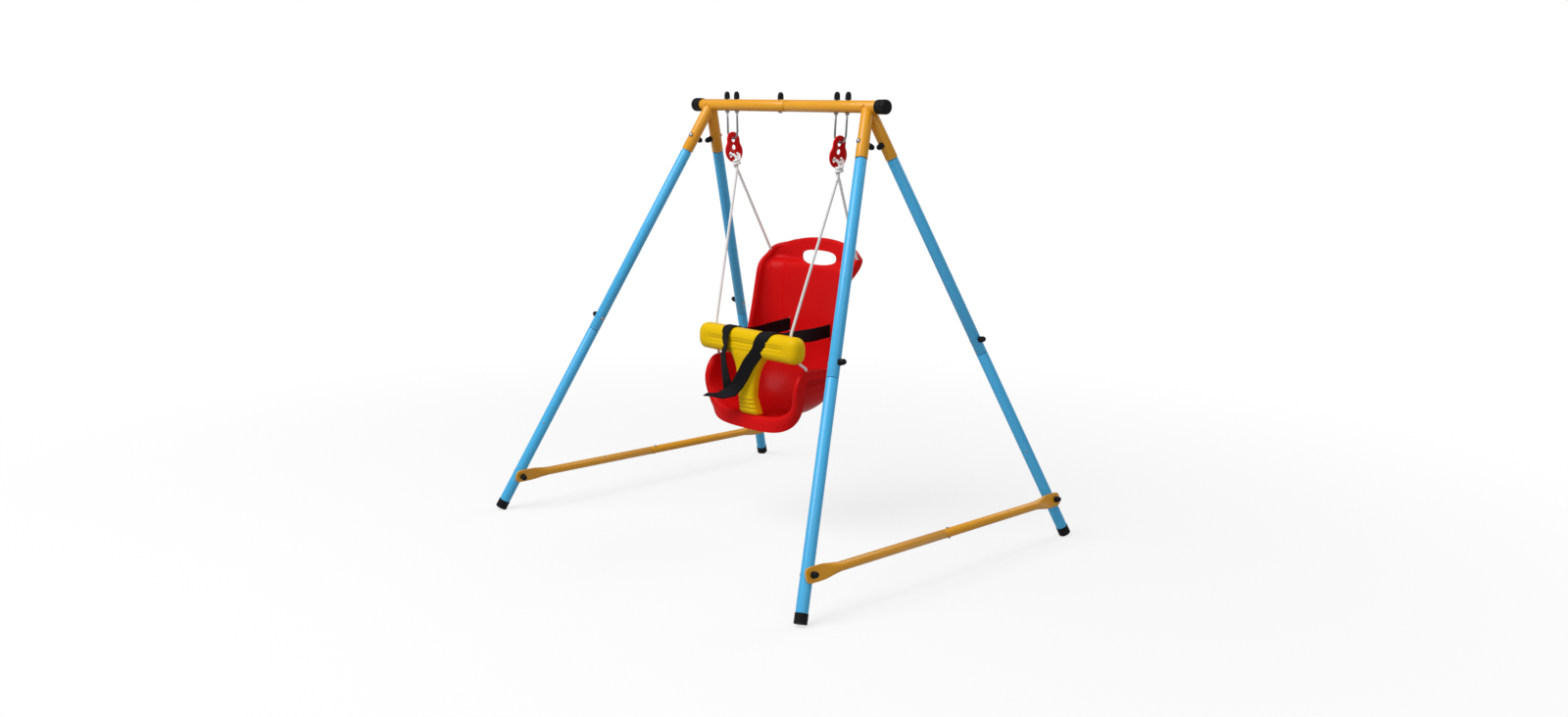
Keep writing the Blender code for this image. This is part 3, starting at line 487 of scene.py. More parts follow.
class Skin:
    """A surface bridged between rings, each a circle whose points are moved to an outline."""

    def __init__(self, segments: int) -> None:
        """Start an empty surface.

        Args:
            segments: The number of points in each ring.
        """
        self.bm = bmesh.new()
        self.segments = segments
        self.around = self.bm.verts.layers.float.new("around")
        self.along = self.bm.verts.layers.float.new("along")
        self.rings: list[list[bmesh.types.BMEdge]] = []

    def ring(self, outline: Outline, along: float = 0.0) -> None:
        """Add a ring.

        Args:
            outline: A function from the angle to the point.
            along: The ring's distance along the surface, in metres.
        """
        made = bmesh.ops.create_circle(self.bm, segments=self.segments, radius=1.0)["verts"]
        for vert in made:
            step = round(math.atan2(vert.co.y, vert.co.x) / math.tau * self.segments) % self.segments
            vert[self.around] = step / self.segments
            vert[self.along] = along
            vert.co = outline(step / self.segments * math.tau)
        self.rings.append(list({edge for vert in made for edge in vert.link_edges}))

    def tube(self, points: Sequence[Vector], radii: Sequence[float]) -> None:
        """Add round rings along a route.

        Args:
            points: The route.
            radii: The radius at each point.
        """
        along = 0.0
        ahead = (points[1] - points[0]).normalized()
        turn = Vector((0, 0, 1)).rotation_difference(ahead)
        for k, point in enumerate(points):
            fresh = (points[min(k + 1, len(points) - 1)] - points[max(k - 1, 0)]).normalized()
            turn = ahead.rotation_difference(fresh) @ turn
            ahead = fresh
            along += (point - points[max(k - 1, 0)]).length
            place = Matrix.Translation(point) @ turn.to_matrix().to_4x4()
            radius = radii[k]
            self.ring(lambda angle: place @ Vector((radius * math.cos(angle), radius * math.sin(angle), 0)), along)

    def close(self, caps: bool = True, loop: bool = False) -> bmesh.types.BMesh:
        """Bridge the rings and chart the surface.

        Args:
            caps: Whether the end rings are filled.
            loop: Whether the last ring is bridged to the first.

        Returns:
            The finished bmesh.
        """
        pairs = list(zip(self.rings, self.rings[1:]))
        if loop:
            pairs.append((self.rings[-1], self.rings[0]))
        for first, second in pairs:
            bmesh.ops.bridge_loops(self.bm, edges=first + second)
        if caps and not loop:
            bmesh.ops.edgeloop_fill(self.bm, edges=self.rings[0])
            bmesh.ops.edgeloop_fill(self.bm, edges=self.rings[-1])
        bmesh.ops.recalc_face_normals(self.bm, faces=self.bm.faces)
        chart = self.bm.loops.layers.uv.new("UVMap")
        for face in self.bm.faces:
            wraps = max(v[self.around] for v in face.verts) - min(v[self.around] for v in face.verts) > 0.5
            for corner in face.loops:
                around = corner.vert[self.around]
                corner[chart].uv = (around + 1.0 if wraps and around < 0.5 else around, corner.vert[self.along])
        return self.bm


def turned(profile: Sequence[tuple[float, float]], start: Vector, direction: Vector, closed: bool,
           segments: int = 40) -> bmesh.types.BMesh:
    """Spin a profile about an axis.

    Args:
        profile: Points of radius and distance along the axis.
        start: The axis's origin.
        direction: The axis's direction.
        closed: Whether the profile is a ring's section. An open one starts and ends on the axis.
        segments: The number of steps round.

    Returns:
        The solid's bmesh.
    """
    bm = bmesh.new()
    verts = [bm.verts.new((radius, 0.0, distance)) for radius, distance in profile]
    edges = [bm.edges.new(pair) for pair in zip(verts, verts[1:])]
    if closed:
        edges.append(bm.edges.new((verts[-1], verts[0])))
    bmesh.ops.spin(bm, geom=verts + edges, cent=(0, 0, 0), axis=(0, 0, 1), dvec=(0, 0, 0),
                   angle=math.tau, steps=segments, use_merge=True, use_duplicate=False)
    bmesh.ops.remove_doubles(bm, verts=bm.verts, dist=0.00001)
    bmesh.ops.recalc_face_normals(bm, faces=bm.faces)
    bmesh.ops.transform(bm, matrix=axis_matrix(start, direction), verts=bm.verts)
    return bm


def pipe(start: Vector, end: Vector, radius: float, wall: float, edge: float = 0.0005) -> bmesh.types.BMesh:
    """Make an open tube with softened ends.

    Args:
        start: The centre of one end.
        end: The centre of the other end.
        radius: The outer radius.
        wall: The wall's thickness.
        edge: The size of the softened edges.

    Returns:
        The tube's bmesh.
    """
    length = (end - start).length
    profile = [
        (radius - edge, 0.0),
        (radius - edge * 0.3, edge * 0.3),
        (radius, edge),
        (radius, length - edge),
        (radius - edge * 0.3, length - edge * 0.3),
        (radius - edge, length),
        (radius - wall, length),
        (radius - wall, 0.0),
    ]
    return turned(profile, start, end - start, True)


def joined(parts: Sequence[bmesh.types.BMesh]) -> bmesh.types.BMesh:
    """Put several bmeshes into one."""
    whole = bmesh.new()
    for part in parts:
        mesh = bpy.data.meshes.new("part")
        part.to_mesh(mesh)
        part.free()
        whole.from_mesh(mesh)
        bpy.data.meshes.remove(mesh)
    return whole


@dataclass
class Workshop:
    """Makes finished pieces, with one material for each finish."""

    materials: dict[str, bpy.types.Material] = field(default_factory=dict)

    def paint(self, finish: Finish) -> bpy.types.Material:
        """Return a finish's material, made on first use."""
        if finish.name not in self.materials:
            self.materials[finish.name] = finish.material()
        return self.materials[finish.name]

    def piece(self, name: str, bm: bmesh.types.BMesh, finish: Finish, body: Body | None,
              nodes: Sequence[str] = (), sharp: float = 40.0) -> bpy.types.Object:
        """Turn a bmesh into a piece of the model.

        Args:
            name: The piece's name.
            bm: Its shape, which is used up.
            finish: Its finish.
            body: The body it rides on, or None for one that is attached later or left on no body.
            nodes: The CAD nodes it stands for.
            sharp: The angle in degrees past which an edge stays sharp.

        Returns:
            The piece.
        """
        mesh = bpy.data.meshes.new(name)
        bm.to_mesh(mesh)
        bm.free()
        mesh.materials.append(self.paint(finish))
        mesh.shade_smooth()
        mesh.set_sharp_from_angle(angle=math.radians(sharp))
        made = bpy.data.objects.new(name, mesh)
        bpy.context.scene.collection.objects.link(made)
        if nodes:
            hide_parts(*nodes)
        if body is not None:
            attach(made, body.value)
        LOG.info("%s: %d faces", name, len(mesh.polygons))
        return made

    def carve(self, piece: bpy.types.Object, cutters: Sequence[bmesh.types.BMesh],
              added: Sequence[bmesh.types.BMesh] = ()) -> None:
        """Apply a piece's modifiers, fuse closed shapes to it and cut others out of it.

        Args:
            piece: The piece, not yet posed.
            cutters: The shapes to cut, which are used up.
            added: The shapes to fuse first, which are used up.
        """
        holders = []
        for number, bm in enumerate([*added, *cutters]):
            mesh = bpy.data.meshes.new("tool")
            bm.to_mesh(mesh)
            bm.free()
            mesh.materials.append(piece.data.materials[0])
            holder = bpy.data.objects.new("tool_%d" % number, mesh)
            bpy.context.scene.collection.objects.link(holder)
            hole = piece.modifiers.new("tool_%d" % number, "BOOLEAN")
            hole.operation = "UNION" if number < len(added) else "DIFFERENCE"
            hole.object = holder
            hole.solver = "EXACT"
            holders.append(holder)
        graph = bpy.context.evaluated_depsgraph_get()
        shaped = bpy.data.meshes.new_from_object(piece.evaluated_get(graph))
        shaped.shade_smooth()
        shaped.set_sharp_from_angle(angle=math.radians(40))
        piece.modifiers.clear()
        piece.data = shaped
        for holder in holders:
            bpy.data.objects.remove(holder, do_unlink=True)


@dataclass(frozen=True)
class Layout:
    """The frame's driving sizes, and the lines and places that follow from them."""

    bar_z: float = 1.232
    leg_top_x: float = 0.320
    foot: Vector = Vector((0.651, 0.550, 0.006))
    hanger_x: float = 0.2245
    hanger_lean: float = math.radians(3.0)
    bend_z: float = -0.077
    plate_lean: float = math.radians(3.7)

    def leg(self, corner: Corner) -> tuple[Vector, Vector, float]:
        """Return a leg's start on the bar, its unit direction down and its length."""
        side, end = corner.value
        start = Vector((side * self.leg_top_x, 0, self.bar_z))
        down = Vector((side * self.foot.x, end * self.foot.y, self.foot.z)) - start
        return start, down.normalized(), down.length

    def socket_bolt(self, corner: Corner) -> Vector:
        """Return the socket bolt's direction: square to the leg, inwards and slightly outboard."""
        side, end = corner.value
        down = self.leg(corner)[1]
        across = down.cross(Vector((1, 0, 0))).normalized()
        if across.y * end > 0:
            across = -across
        return (across + self.outboard(corner) * 0.2).normalized()

    def outboard(self, corner: Corner) -> Vector:
        """Return the direction square to a leg that points away from the set along X."""
        down = self.leg(corner)[1]
        sideways = Vector((corner.value[0], 0, 0))
        return (sideways - down * sideways.dot(down)).normalized()

    def side_normal(self, side: Side) -> Vector:
        """Return the normal of the plane that a side's two legs share, towards the right."""
        down = self.leg(Corner((side.value, 1)))[1]
        return Vector((-down.z, 0, down.x)).normalized()

    def hanger(self, side: Side) -> Matrix:
        """Return the matrix that leans a U-bolt inwards from the bar's axis."""
        origin = Matrix.Translation((side.value * self.hanger_x, 0, self.bar_z))
        return origin @ Matrix.Rotation(side.value * self.hanger_lean, 4, "Y")

    def plate(self, side: Side) -> Matrix:
        """Return the matrix of a rope plate, which leans further about the U-bolt's bend."""
        bend = Matrix.Translation((0, 0, self.bend_z))
        return self.hanger(side) @ bend @ Matrix.Rotation(side.value * self.plate_lean, 4, "Y")


LAYOUT = Layout()


@dataclass
class TubeFrame:
    """The top bar with its sockets, the four two-piece legs and the crossbars."""

    shop: Workshop
    bar_end: float = 0.370
    bar_r: float = 0.017
    bar_seam: float = 0.008
    neck_length: float = 0.045
    socket_end: float = 0.154
    leg_r: float = 0.016
    leg_seam: float = 0.765
    rivet_at: float = 1.090
    crossbar_at: float = 1.265
    cross_r: float = 0.0125
    cross_seam: float = -0.006
    flat_half: float = 0.0025

    def build(self) -> None:
        """Build the tubes."""
        for side in Side:
            self.build_bar(side)
            self.build_crossbar(side)
        for corner in Corner:
            self.build_leg(corner)
        self.build_rivets()

    def weld(self, corner: Corner) -> bmesh.types.BMesh:
        """Return the rippled bead where a socket meets the bar."""
        start, down, _ = LAYOUT.leg(corner)
        side_way = LAYOUT.outboard(corner)
        other_way = down.cross(side_way)
        skin = Skin(8)
        count = 72
        points = []
        for i in range(count):
            angle = math.tau * i / count
            rim = (side_way * math.cos(angle) + other_way * math.sin(angle)) * self.bar_r
            a = down.y ** 2 + down.z ** 2
            b = 2 * (down.y * rim.y + down.z * rim.z)
            c = rim.y ** 2 + rim.z ** 2 - self.bar_r ** 2
            reach = (-b + math.sqrt(max(b * b - 4 * a * c, 0.0))) / (2 * a)
            points.append(start + rim + down * reach)
        for i, point in enumerate(points):
            ahead = (points[(i + 1) % count] - points[i - 1]).normalized()
            place = axis_matrix(point, ahead)
            radius = 0.0019 + 0.0003 * math.sin(i * math.tau / 3)
            skin.ring(lambda angle: place @ Vector((radius * math.cos(angle), radius * math.sin(angle), 0)))
        return skin.close(loop=True)

    def build_bar(self, side: Side) -> None:
        """Build one half of the bar with its two welded sockets."""
        outer = Vector((side.value * self.bar_end, 0, LAYOUT.bar_z))
        seam = Vector((self.bar_seam + side.value * 0.0010, 0, LAYOUT.bar_z))
        parts = [pipe(outer, seam, self.bar_r, 0.0015)]
        if side is Side.LEFT:
            neck = Vector((self.neck_length, 0, 0))
            parts.append(pipe(seam - neck, seam + neck, self.bar_r - 0.0040, 0.0013))
        for end in (-1, 1):
            corner = Corner((side.value, end))
            start, down, _ = LAYOUT.leg(corner)
            parts.append(pipe(start + down * 0.010, start + down * self.socket_end, self.bar_r - 0.0001, 0.0014))
            parts.append(self.weld(corner))
        self.shop.piece("bar_half_" + side.word, joined(parts), YELLOW_TUBE, Body.FRAME, ["top_bar_" + side.word])

    def build_leg(self, corner: Corner) -> None:
        """Build one leg's upper and lower tube."""
        start, down, length = LAYOUT.leg(corner)
        r = self.leg_r
        upper = [
            (r, self.leg_seam - 0.0012),
            (r, self.socket_end + 0.004),
            (r - 0.0004, self.socket_end + 0.0030),
            (r - 0.0030, self.socket_end + 0.0026),
            (r - 0.0030, 0.090),
            (r - 0.0044, 0.090),
            (r - 0.0044, self.socket_end + 0.004),
            (r - 0.0013, self.socket_end + 0.008),
            (r - 0.0013, self.leg_seam - 0.0003),
            (r - 0.0005, self.leg_seam - 0.0003),
        ]
        lower = [
            (r, length - 0.0045),
            (r, self.leg_seam + 0.0022),
            (r - 0.0004, self.leg_seam + 0.0014),
            (r - 0.0045, self.leg_seam + 0.0012),
            (r - 0.0045, 0.702),
            (r - 0.0060, 0.702),
            (r - 0.0060, self.leg_seam + 0.004),
            (r - 0.0015, self.leg_seam + 0.010),
            (r - 0.0015, length - 0.0045),
        ]
        for tag, profile in (("upper", upper), ("lower", lower)):
            name = "%s_leg_%s" % (tag, corner.word)
            self.shop.piece(name + "_tube", turned(profile, start, down, True), BLUE_TUBE, Body.FRAME, [name])

    def build_crossbar(self, side: Side) -> None:
        """Build one crossbar's two tubes, whose outer ends are pressed flat."""
        start, down, _ = LAYOUT.leg(Corner((side.value, -1)))
        normal = LAYOUT.side_normal(side)
        centre = start + down * self.crossbar_at + normal * (self.leg_r + 0.0003 + self.flat_half)
        rise = normal.cross(Vector((0, 1, 0))).normalized()
        flat_sections = (
            (-0.0210, 0.0100, self.flat_half, 0.45),
            (-0.0190, 0.0145, self.flat_half, 0.40),
            (-0.0130, 0.0185, self.flat_half, 0.35),
            (0.0000, 0.0200, self.flat_half, 0.30),
            (0.0340, 0.0200, self.flat_half, 0.30),
            (0.0520, 0.0185, 0.0048, 0.60),
            (0.0720, 0.0155, 0.0090, 0.90),
            (0.0960, self.cross_r, self.cross_r, 1.00),
        )
        reach = abs(centre.y)
        for tag, end in (("front", -1), ("rear", 1)):
            seam = reach + end * -1 * self.cross_seam
            sections = [read_curve(flat_sections, i / 3) for i in range(3 * (len(flat_sections) - 1) + 1)]
            sections.append((seam - 0.0006, self.cross_r, self.cross_r, 1.0))
            sections.append((seam - 0.0002, self.cross_r - 0.0003, self.cross_r - 0.0003, 1.0))
            skin = Skin(36)
            for along, half_rise, half_normal, power in sections:
                y = end * (reach - along)

                def outline(angle: float) -> Vector:
                    """Return a point of the section."""
                    up, out = superellipse(angle, half_rise, half_normal, min(power, 1.0))
                    return Vector((centre.x, y, centre.z)) + rise * up + normal * out

                skin.ring(outline)
            name = "crossbar_%s_%s" % (side.word, tag)
            self.shop.piece(name + "_tube", skin.close(), YELLOW_TUBE, Body.FRAME, [name])

    def build_rivets(self) -> None:
        """Build the small rivets that show on two legs and two crossbars."""
        dome = [(0.0, 0.0012), (0.0016, 0.0009), (0.0027, 0.0003), (0.0030, -0.0004), (0.0, -0.0008)]
        for corner, facing in ((Corner.FRONT_LEFT, 1), (Corner.REAR_RIGHT, -1)):
            start, down, _ = LAYOUT.leg(corner)
            facing_way = down.cross(LAYOUT.outboard(corner)).normalized()
            if facing_way.y > 0:
                facing_way = -facing_way
            way = (facing_way + LAYOUT.outboard(corner) * facing * -0.9).normalized()
            at = start + down * self.rivet_at + way * self.leg_r
            self.shop.piece("rivet_" + corner.word, turned(dome, at, way, False, 20), ZINC, Body.FRAME)
        for side, y in ((Side.RIGHT, 0.270), (Side.LEFT, -0.195)):
            start, down, _ = LAYOUT.leg(Corner((side.value, -1)))
            normal = LAYOUT.side_normal(side)
            centre = start + down * self.crossbar_at + normal * (self.leg_r + 0.0003 + self.flat_half)
            way = (Vector((0.35, 0, 1.0)) if side is Side.RIGHT else Vector((0.55, 0, 0.8))).normalized()
            at = Vector((centre.x, y, centre.z)) + way * self.cross_r
            self.shop.piece("rivet_crossbar_" + side.word, turned(dome, at, way, False, 20), ZINC, Body.FRAME)


@dataclass
class Caps:
    """The bar's domed plugs and the ribbed foot caps."""

    shop: Workshop
    foot_r: float = 0.01725
    foot_height: float = 0.026
    rib_count: int = 5

    def build(self) -> None:
        """Build the plugs and the feet."""
        for side in Side:
            self.build_plug(side)
        for corner in Corner:
            self.build_foot(corner)

    def build_plug(self, side: Side) -> None:
        """Build the plug over one end of the bar."""
        depth, skirt, round_r = 0.022, 0.014, 0.007
        profile = [(0.0, depth), (0.006, depth)]
        for i in range(9):
            angle = math.radians(90 - 11.25 * i)
            profile.append((0.020 - round_r * (1 - math.cos(angle)), depth - round_r * (1 - math.sin(angle))))
        profile += [(0.0200, 0.004), (0.0196, 0.003), (0.0196, 0.001), (0.0199, 0.0), (0.0195, -skirt + 0.001),
                    (0.0188, -skirt), (0.0176, -skirt), (0.0176, 0.0003), (0.0, 0.0003)]
        start = Vector((side.value * 0.370, 0, LAYOUT.bar_z))
        name = "bar_end_cap_" + side.word
        self.shop.piece(name + "_plug", turned(profile, start, Vector((side.value, 0, 0)), False), BLACK_CAP,
                        Body.FRAME, [name])

    def build_foot(self, corner: Corner) -> None:
        """Build one foot cap: ribbed round its side and flat where it meets the floor."""
        start, down, length = LAYOUT.leg(corner)
        top = length - self.foot_height
        profile = [(0.0, length), (self.foot_r - 0.0012, length)]
        for i in range(self.rib_count * 4 + 1):
            share = i / (self.rib_count * 4)
            radius = self.foot_r - 0.0003 + 0.0003 * math.cos(share * self.rib_count * math.tau)
            profile.append((radius, length - 0.0012 - share * (self.foot_height - 0.0036)))
        profile += [(self.foot_r, top + 0.0008), (self.foot_r - 0.0004, top), (0.0163, top),
                    (0.0163, length - 0.0037), (0.0, length - 0.0037)]
        bm = turned(profile, start, down, False)
        cut = bmesh.ops.bisect_plane(bm, geom=[*bm.verts, *bm.edges, *bm.faces], plane_co=(0, 0, 0.00001),
                                     plane_no=(0, 0, -1), clear_outer=True)
        rim = [item for item in cut["geom_cut"] if isinstance(item, bmesh.types.BMEdge)]
        bmesh.ops.edgeloop_fill(bm, edges=rim)
        bmesh.ops.recalc_face_normals(bm, faces=bm.faces)
        name = "foot_cap_" + corner.word
        self.shop.piece(name + "_shoe", bm, BLACK_CAP, Body.FRAME, [name], sharp=32)


@dataclass
class Fasteners:
    """Domed bolts with a washer and a black cap nut, at every joint of the tubes."""

    shop: Workshop
    shank_r: float = 0.003
    head_r: float = 0.0068
    head_height: float = 0.0042
    nut_r: float = 0.0088
    nut_height: float = 0.021

    def build(self) -> None:
        """Build the bolts of the sockets, legs, crossbars and bar."""
        for corner in Corner:
            start, down, _ = LAYOUT.leg(corner)
            side = Side(corner.value[0])
            self.bolt("socket_bolt_" + corner.word, start + down * 0.108, LAYOUT.socket_bolt(corner), 0.0173, 0.0173)
            self.bolt("leg_bolt_" + corner.word, start + down * 0.724, LAYOUT.outboard(corner), 0.0163, 0.0163)
            self.bolt("crossbar_bolt_" + corner.word, start + down * 1.265, LAYOUT.side_normal(side), 0.0163,
                      0.0219, 0.018)
        self.bolt("bar_bolt", Vector((-0.018, 0, LAYOUT.bar_z)), Vector((0, 0, 1)), 0.0173, 0.0173)
        for side in Side:
            self.crossbar_screw(side)

    def bolt(self, node: str, centre: Vector, way: Vector, head_at: float, nut_at: float,
             height: float = 0.021) -> None:
        """Build one bolt.

        Args:
            node: The CAD node it stands for.
            centre: The middle of the tube that it goes through.
            way: The direction that its nut is on.
            head_at: The distance of the head's seat.
            nut_at: The distance of the nut's seat.
            height: The cap nut's height.
        """
        top = nut_at + height
        cap = [(0.0, top)]
        for i in range(1, 7):
            share = i / 6
            cap.append((self.nut_r * 0.96 * math.sin(share * math.pi / 2) ** 0.8, top - height * 0.62 * share ** 2))
        cap += [(self.nut_r * 0.96, nut_at + 0.0045), (self.nut_r, nut_at + 0.0042), (self.nut_r, nut_at + 0.0006),
                (self.nut_r - 0.0005, nut_at + 0.0001), (0.0, nut_at + 0.0001)]
        self.shop.piece(node + "_cap", turned(cap, centre, way, False, 32), BLACK_CAP, Body.FRAME, [node])
        seat = -head_at
        metal = [(0.0, nut_at - 0.0002), (self.nut_r - 0.0012, nut_at - 0.0002), (self.nut_r - 0.0012, nut_at - 0.001),
                 (self.shank_r, nut_at - 0.001), (self.shank_r, seat), (self.head_r, seat),
                 (self.head_r, seat - 0.0006)]
        for i in range(1, 7):
            angle = i / 6 * math.pi / 2
            metal.append((self.head_r * math.cos(angle) * 0.99, seat - 0.0006 - (self.head_height - 0.0006)
                          * math.sin(angle)))
        self.shop.piece(node + "_steel", turned(metal, centre, way, False, 28), ZINC, Body.FRAME)

    def crossbar_screw(self, side: Side) -> None:
        """Build the screw through one crossbar's joint, with a cross recess in its head."""
        start, down, _ = LAYOUT.leg(Corner((side.value, -1)))
        normal = LAYOUT.side_normal(side)
        centre = start + down * 1.265 + normal * 0.0188
        centre.y = 0.014
        rise = normal.cross(Vector((0, 1, 0))).normalized()
        reach = 0.0128
        profile = [(0.0, reach + 0.0026), (0.0012, reach + 0.0027), (0.0026, reach + 0.0023),
                   (0.0040, reach + 0.0014), (0.0048, reach + 0.0002), (0.0046, reach), (0.003, reach),
                   (0.003, -reach), (0.0046, -reach), (0.0048, -reach - 0.0002), (0.0036, -reach - 0.0018),
                   (0.0, -reach - 0.0027)]
        name = "crossbar_joint_bolt_" + side.word
        screw = self.shop.piece(name + "_screw", turned(profile, centre, rise, False, 28), ZINC, None, [name])
        slots = []
        for angle in (0.0, math.pi / 2):
            slot = bmesh.new()
            bmesh.ops.create_cube(slot, size=1.0)
            place = axis_matrix(centre + rise * (reach + 0.0026), rise) @ Matrix.Rotation(angle, 4, "Z")
            bmesh.ops.transform(slot, matrix=place @ Matrix.Diagonal((0.0042, 0.0008, 0.0024, 1)), verts=slot.verts)
            slots.append(slot)
        self.shop.carve(screw, slots)
        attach(screw, Body.FRAME.value)


@dataclass
class Hangers:
    """The two U-bolts with their nuts, and the rope plates that swing on them."""

    shop: Workshop
    half: float = 0.021
    wire_r: float = 0.003
    thread_pitch: float = 0.00125
    plate_top: float = -0.0247
    plate_pitch: float = 0.022
    plate_thick: float = 0.006
    hole_r: float = 0.0075
    rope_hole: float = 0.0135

    def build(self) -> None:
        """Build both hangers."""
        for side in Side:
            self.build_u_bolt(side)
            self.build_plate(side)

    def build_u_bolt(self, side: Side) -> None:
        """Build one U-bolt with threaded ends, its hexagon nuts and its cap nuts."""
        place = LAYOUT.hanger(side)
        route, radii = [], []
        threads = [0.027 - self.thread_pitch / 2 * i for i in range(96)]
        for sign in (-1, 1):
            leg = [(Vector((sign * self.half, 0, z)), self.wire_r - 0.00028 * (i % 2))
                   for i, z in enumerate(threads)]
            if sign < 0:
                route += [place @ point for point, _ in leg]
                radii += [radius for _, radius in leg]
                for i in range(25):
                    angle = math.pi * i / 24
                    route.append(place @ Vector((-self.half * math.cos(angle), 0,
                                                 LAYOUT.bend_z - self.half * math.sin(angle))))
                    radii.append(self.wire_r)
            else:
                route += [place @ point for point, _ in reversed(leg)]
                radii += [radius for _, radius in reversed(leg)]
        skin = Skin(18)
        skin.tube(route, radii)
        parts = [skin.close()]
        up = place.to_3x3() @ Vector((0, 0, 1))
        for tag, way in (("inner", -side.value), ("outer", side.value)):
            leg_x = way * self.half
            slip = leg_x * math.tan(side.value * LAYOUT.hanger_lean)
            under = place @ Vector((leg_x, 0, slip - 0.0229))
            hexagon = [(0.0, 0.0049), (0.0052, 0.0049), (0.0061, 0.0043), (0.0061, 0.0007), (0.0052, 0.0001), (0.0, 0.0001)]
            parts.append(turned(hexagon, under, up, False, 6))
            washer = [(0.0, 0.0009), (0.0072, 0.0009), (0.0074, 0.0005), (0.0072, 0.0), (0.0, 0.0)]
            parts.append(turned(washer, place @ Vector((leg_x, 0, slip - 0.0180)), up, False, 28))
            foot = place @ Vector((leg_x, 0, slip + 0.0179))
            height = 0.022
            cap = [(0.0, height)]
            for i in range(1, 7):
                share = i / 6
                cap.append((0.0082 * math.sin(share * math.pi / 2) ** 0.8, height - height * 0.60 * share ** 2))
            cap += [(0.0082, 0.0052), (0.0085, 0.0048), (0.0085, 0.0006), (0.0080, 0.0), (0.0, 0.0)]
            name = "u_bolt_nut_%s_%s" % (side.word, tag)
            self.shop.piece(name + "_cap", turned(cap, foot, up, False, 32), BLACK_CAP, Body.FRAME, [name])
        self.shop.piece("u_bolt_" + side.word + "_wire", joined(parts), ZINC, Body.FRAME, ["u_bolt_" + side.word],
                        sharp=30)

    def plate_edge(self, share: float) -> tuple[float, float]:
        """Return a point of the plate's outline, a narrow head over a wide foot, from a share round it."""
        foot_z = self.plate_top - 0.034
        flare = math.radians(37)
        if share < 0.36:
            angle = math.pi * share / 0.36
            return 0.0235 * math.cos(angle), self.plate_top + 0.0235 * math.sin(angle)
        angle = math.pi - flare + (math.pi + 2 * flare) * (share - 0.40) / 0.56
        if share < 0.40:
            start = (-0.0235, self.plate_top)
            angle = math.pi - flare
            end = (0.033 * math.cos(angle), foot_z + 0.033 * math.sin(angle))
            t = (share - 0.36) / 0.04
            return start[0] + (end[0] - start[0]) * t + 0.0012 * t * (1 - t) * 4, start[1] + (end[1] - start[1]) * t
        if share > 0.96:
            mirrored = self.plate_edge(0.36 + (1.0 - share))
            return -mirrored[0], mirrored[1]
        return 0.033 * math.cos(angle), foot_z + 0.033 * math.sin(angle)

    def build_plate(self, side: Side) -> None:
        """Build one rope plate with rounded edges and four holes."""
        place = LAYOUT.plate(side)
        half = self.plate_thick / 2
        soft = 0.0016
        skin = Skin(100)
        for depth, inset in ((-half, soft), (-half + soft * 0.3, soft * 0.3), (-half + soft, 0.0), (half - soft, 0.0),
                             (half - soft * 0.3, soft * 0.3), (half, soft)):

            def outline(angle: float) -> Vector:
                """Return a point of the layer's edge."""
                y, z = self.plate_edge(angle / math.tau)
                middle = self.plate_top - 0.020
                slim = 1 - inset / 0.030
                return place @ Vector((depth, y * slim, middle + (z - middle) * slim))

            skin.ring(outline)
        name = "rope_plate_" + side.word
        plate = self.shop.piece(name + "_moulding", skin.close(), RED_SHELL, None, [name])
        cutters = []
        for y, row in ((0, 0), (0, -1), (-self.rope_hole, -2), (self.rope_hole, -2)):
            z = self.plate_top + row * self.plate_pitch
            flare = [(0.0, 0.006), (self.hole_r + 0.0016, 0.006), (self.hole_r + 0.0016, half), (self.hole_r + 0.0004, half - 0.0010),
                     (self.hole_r, half - 0.0018), (self.hole_r, -half + 0.0018), (self.hole_r + 0.0004, -half + 0.0010),
                     (self.hole_r + 0.0016, -half), (self.hole_r + 0.0016, -0.006), (0.0, -0.006)]
            cutters.append(turned(flare, place @ Vector((0, y, z)), place.to_3x3() @ Vector((1, 0, 0)), False, 32))
        self.shop.carve(plate, cutters)
        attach(plate, Body.SWING.value)


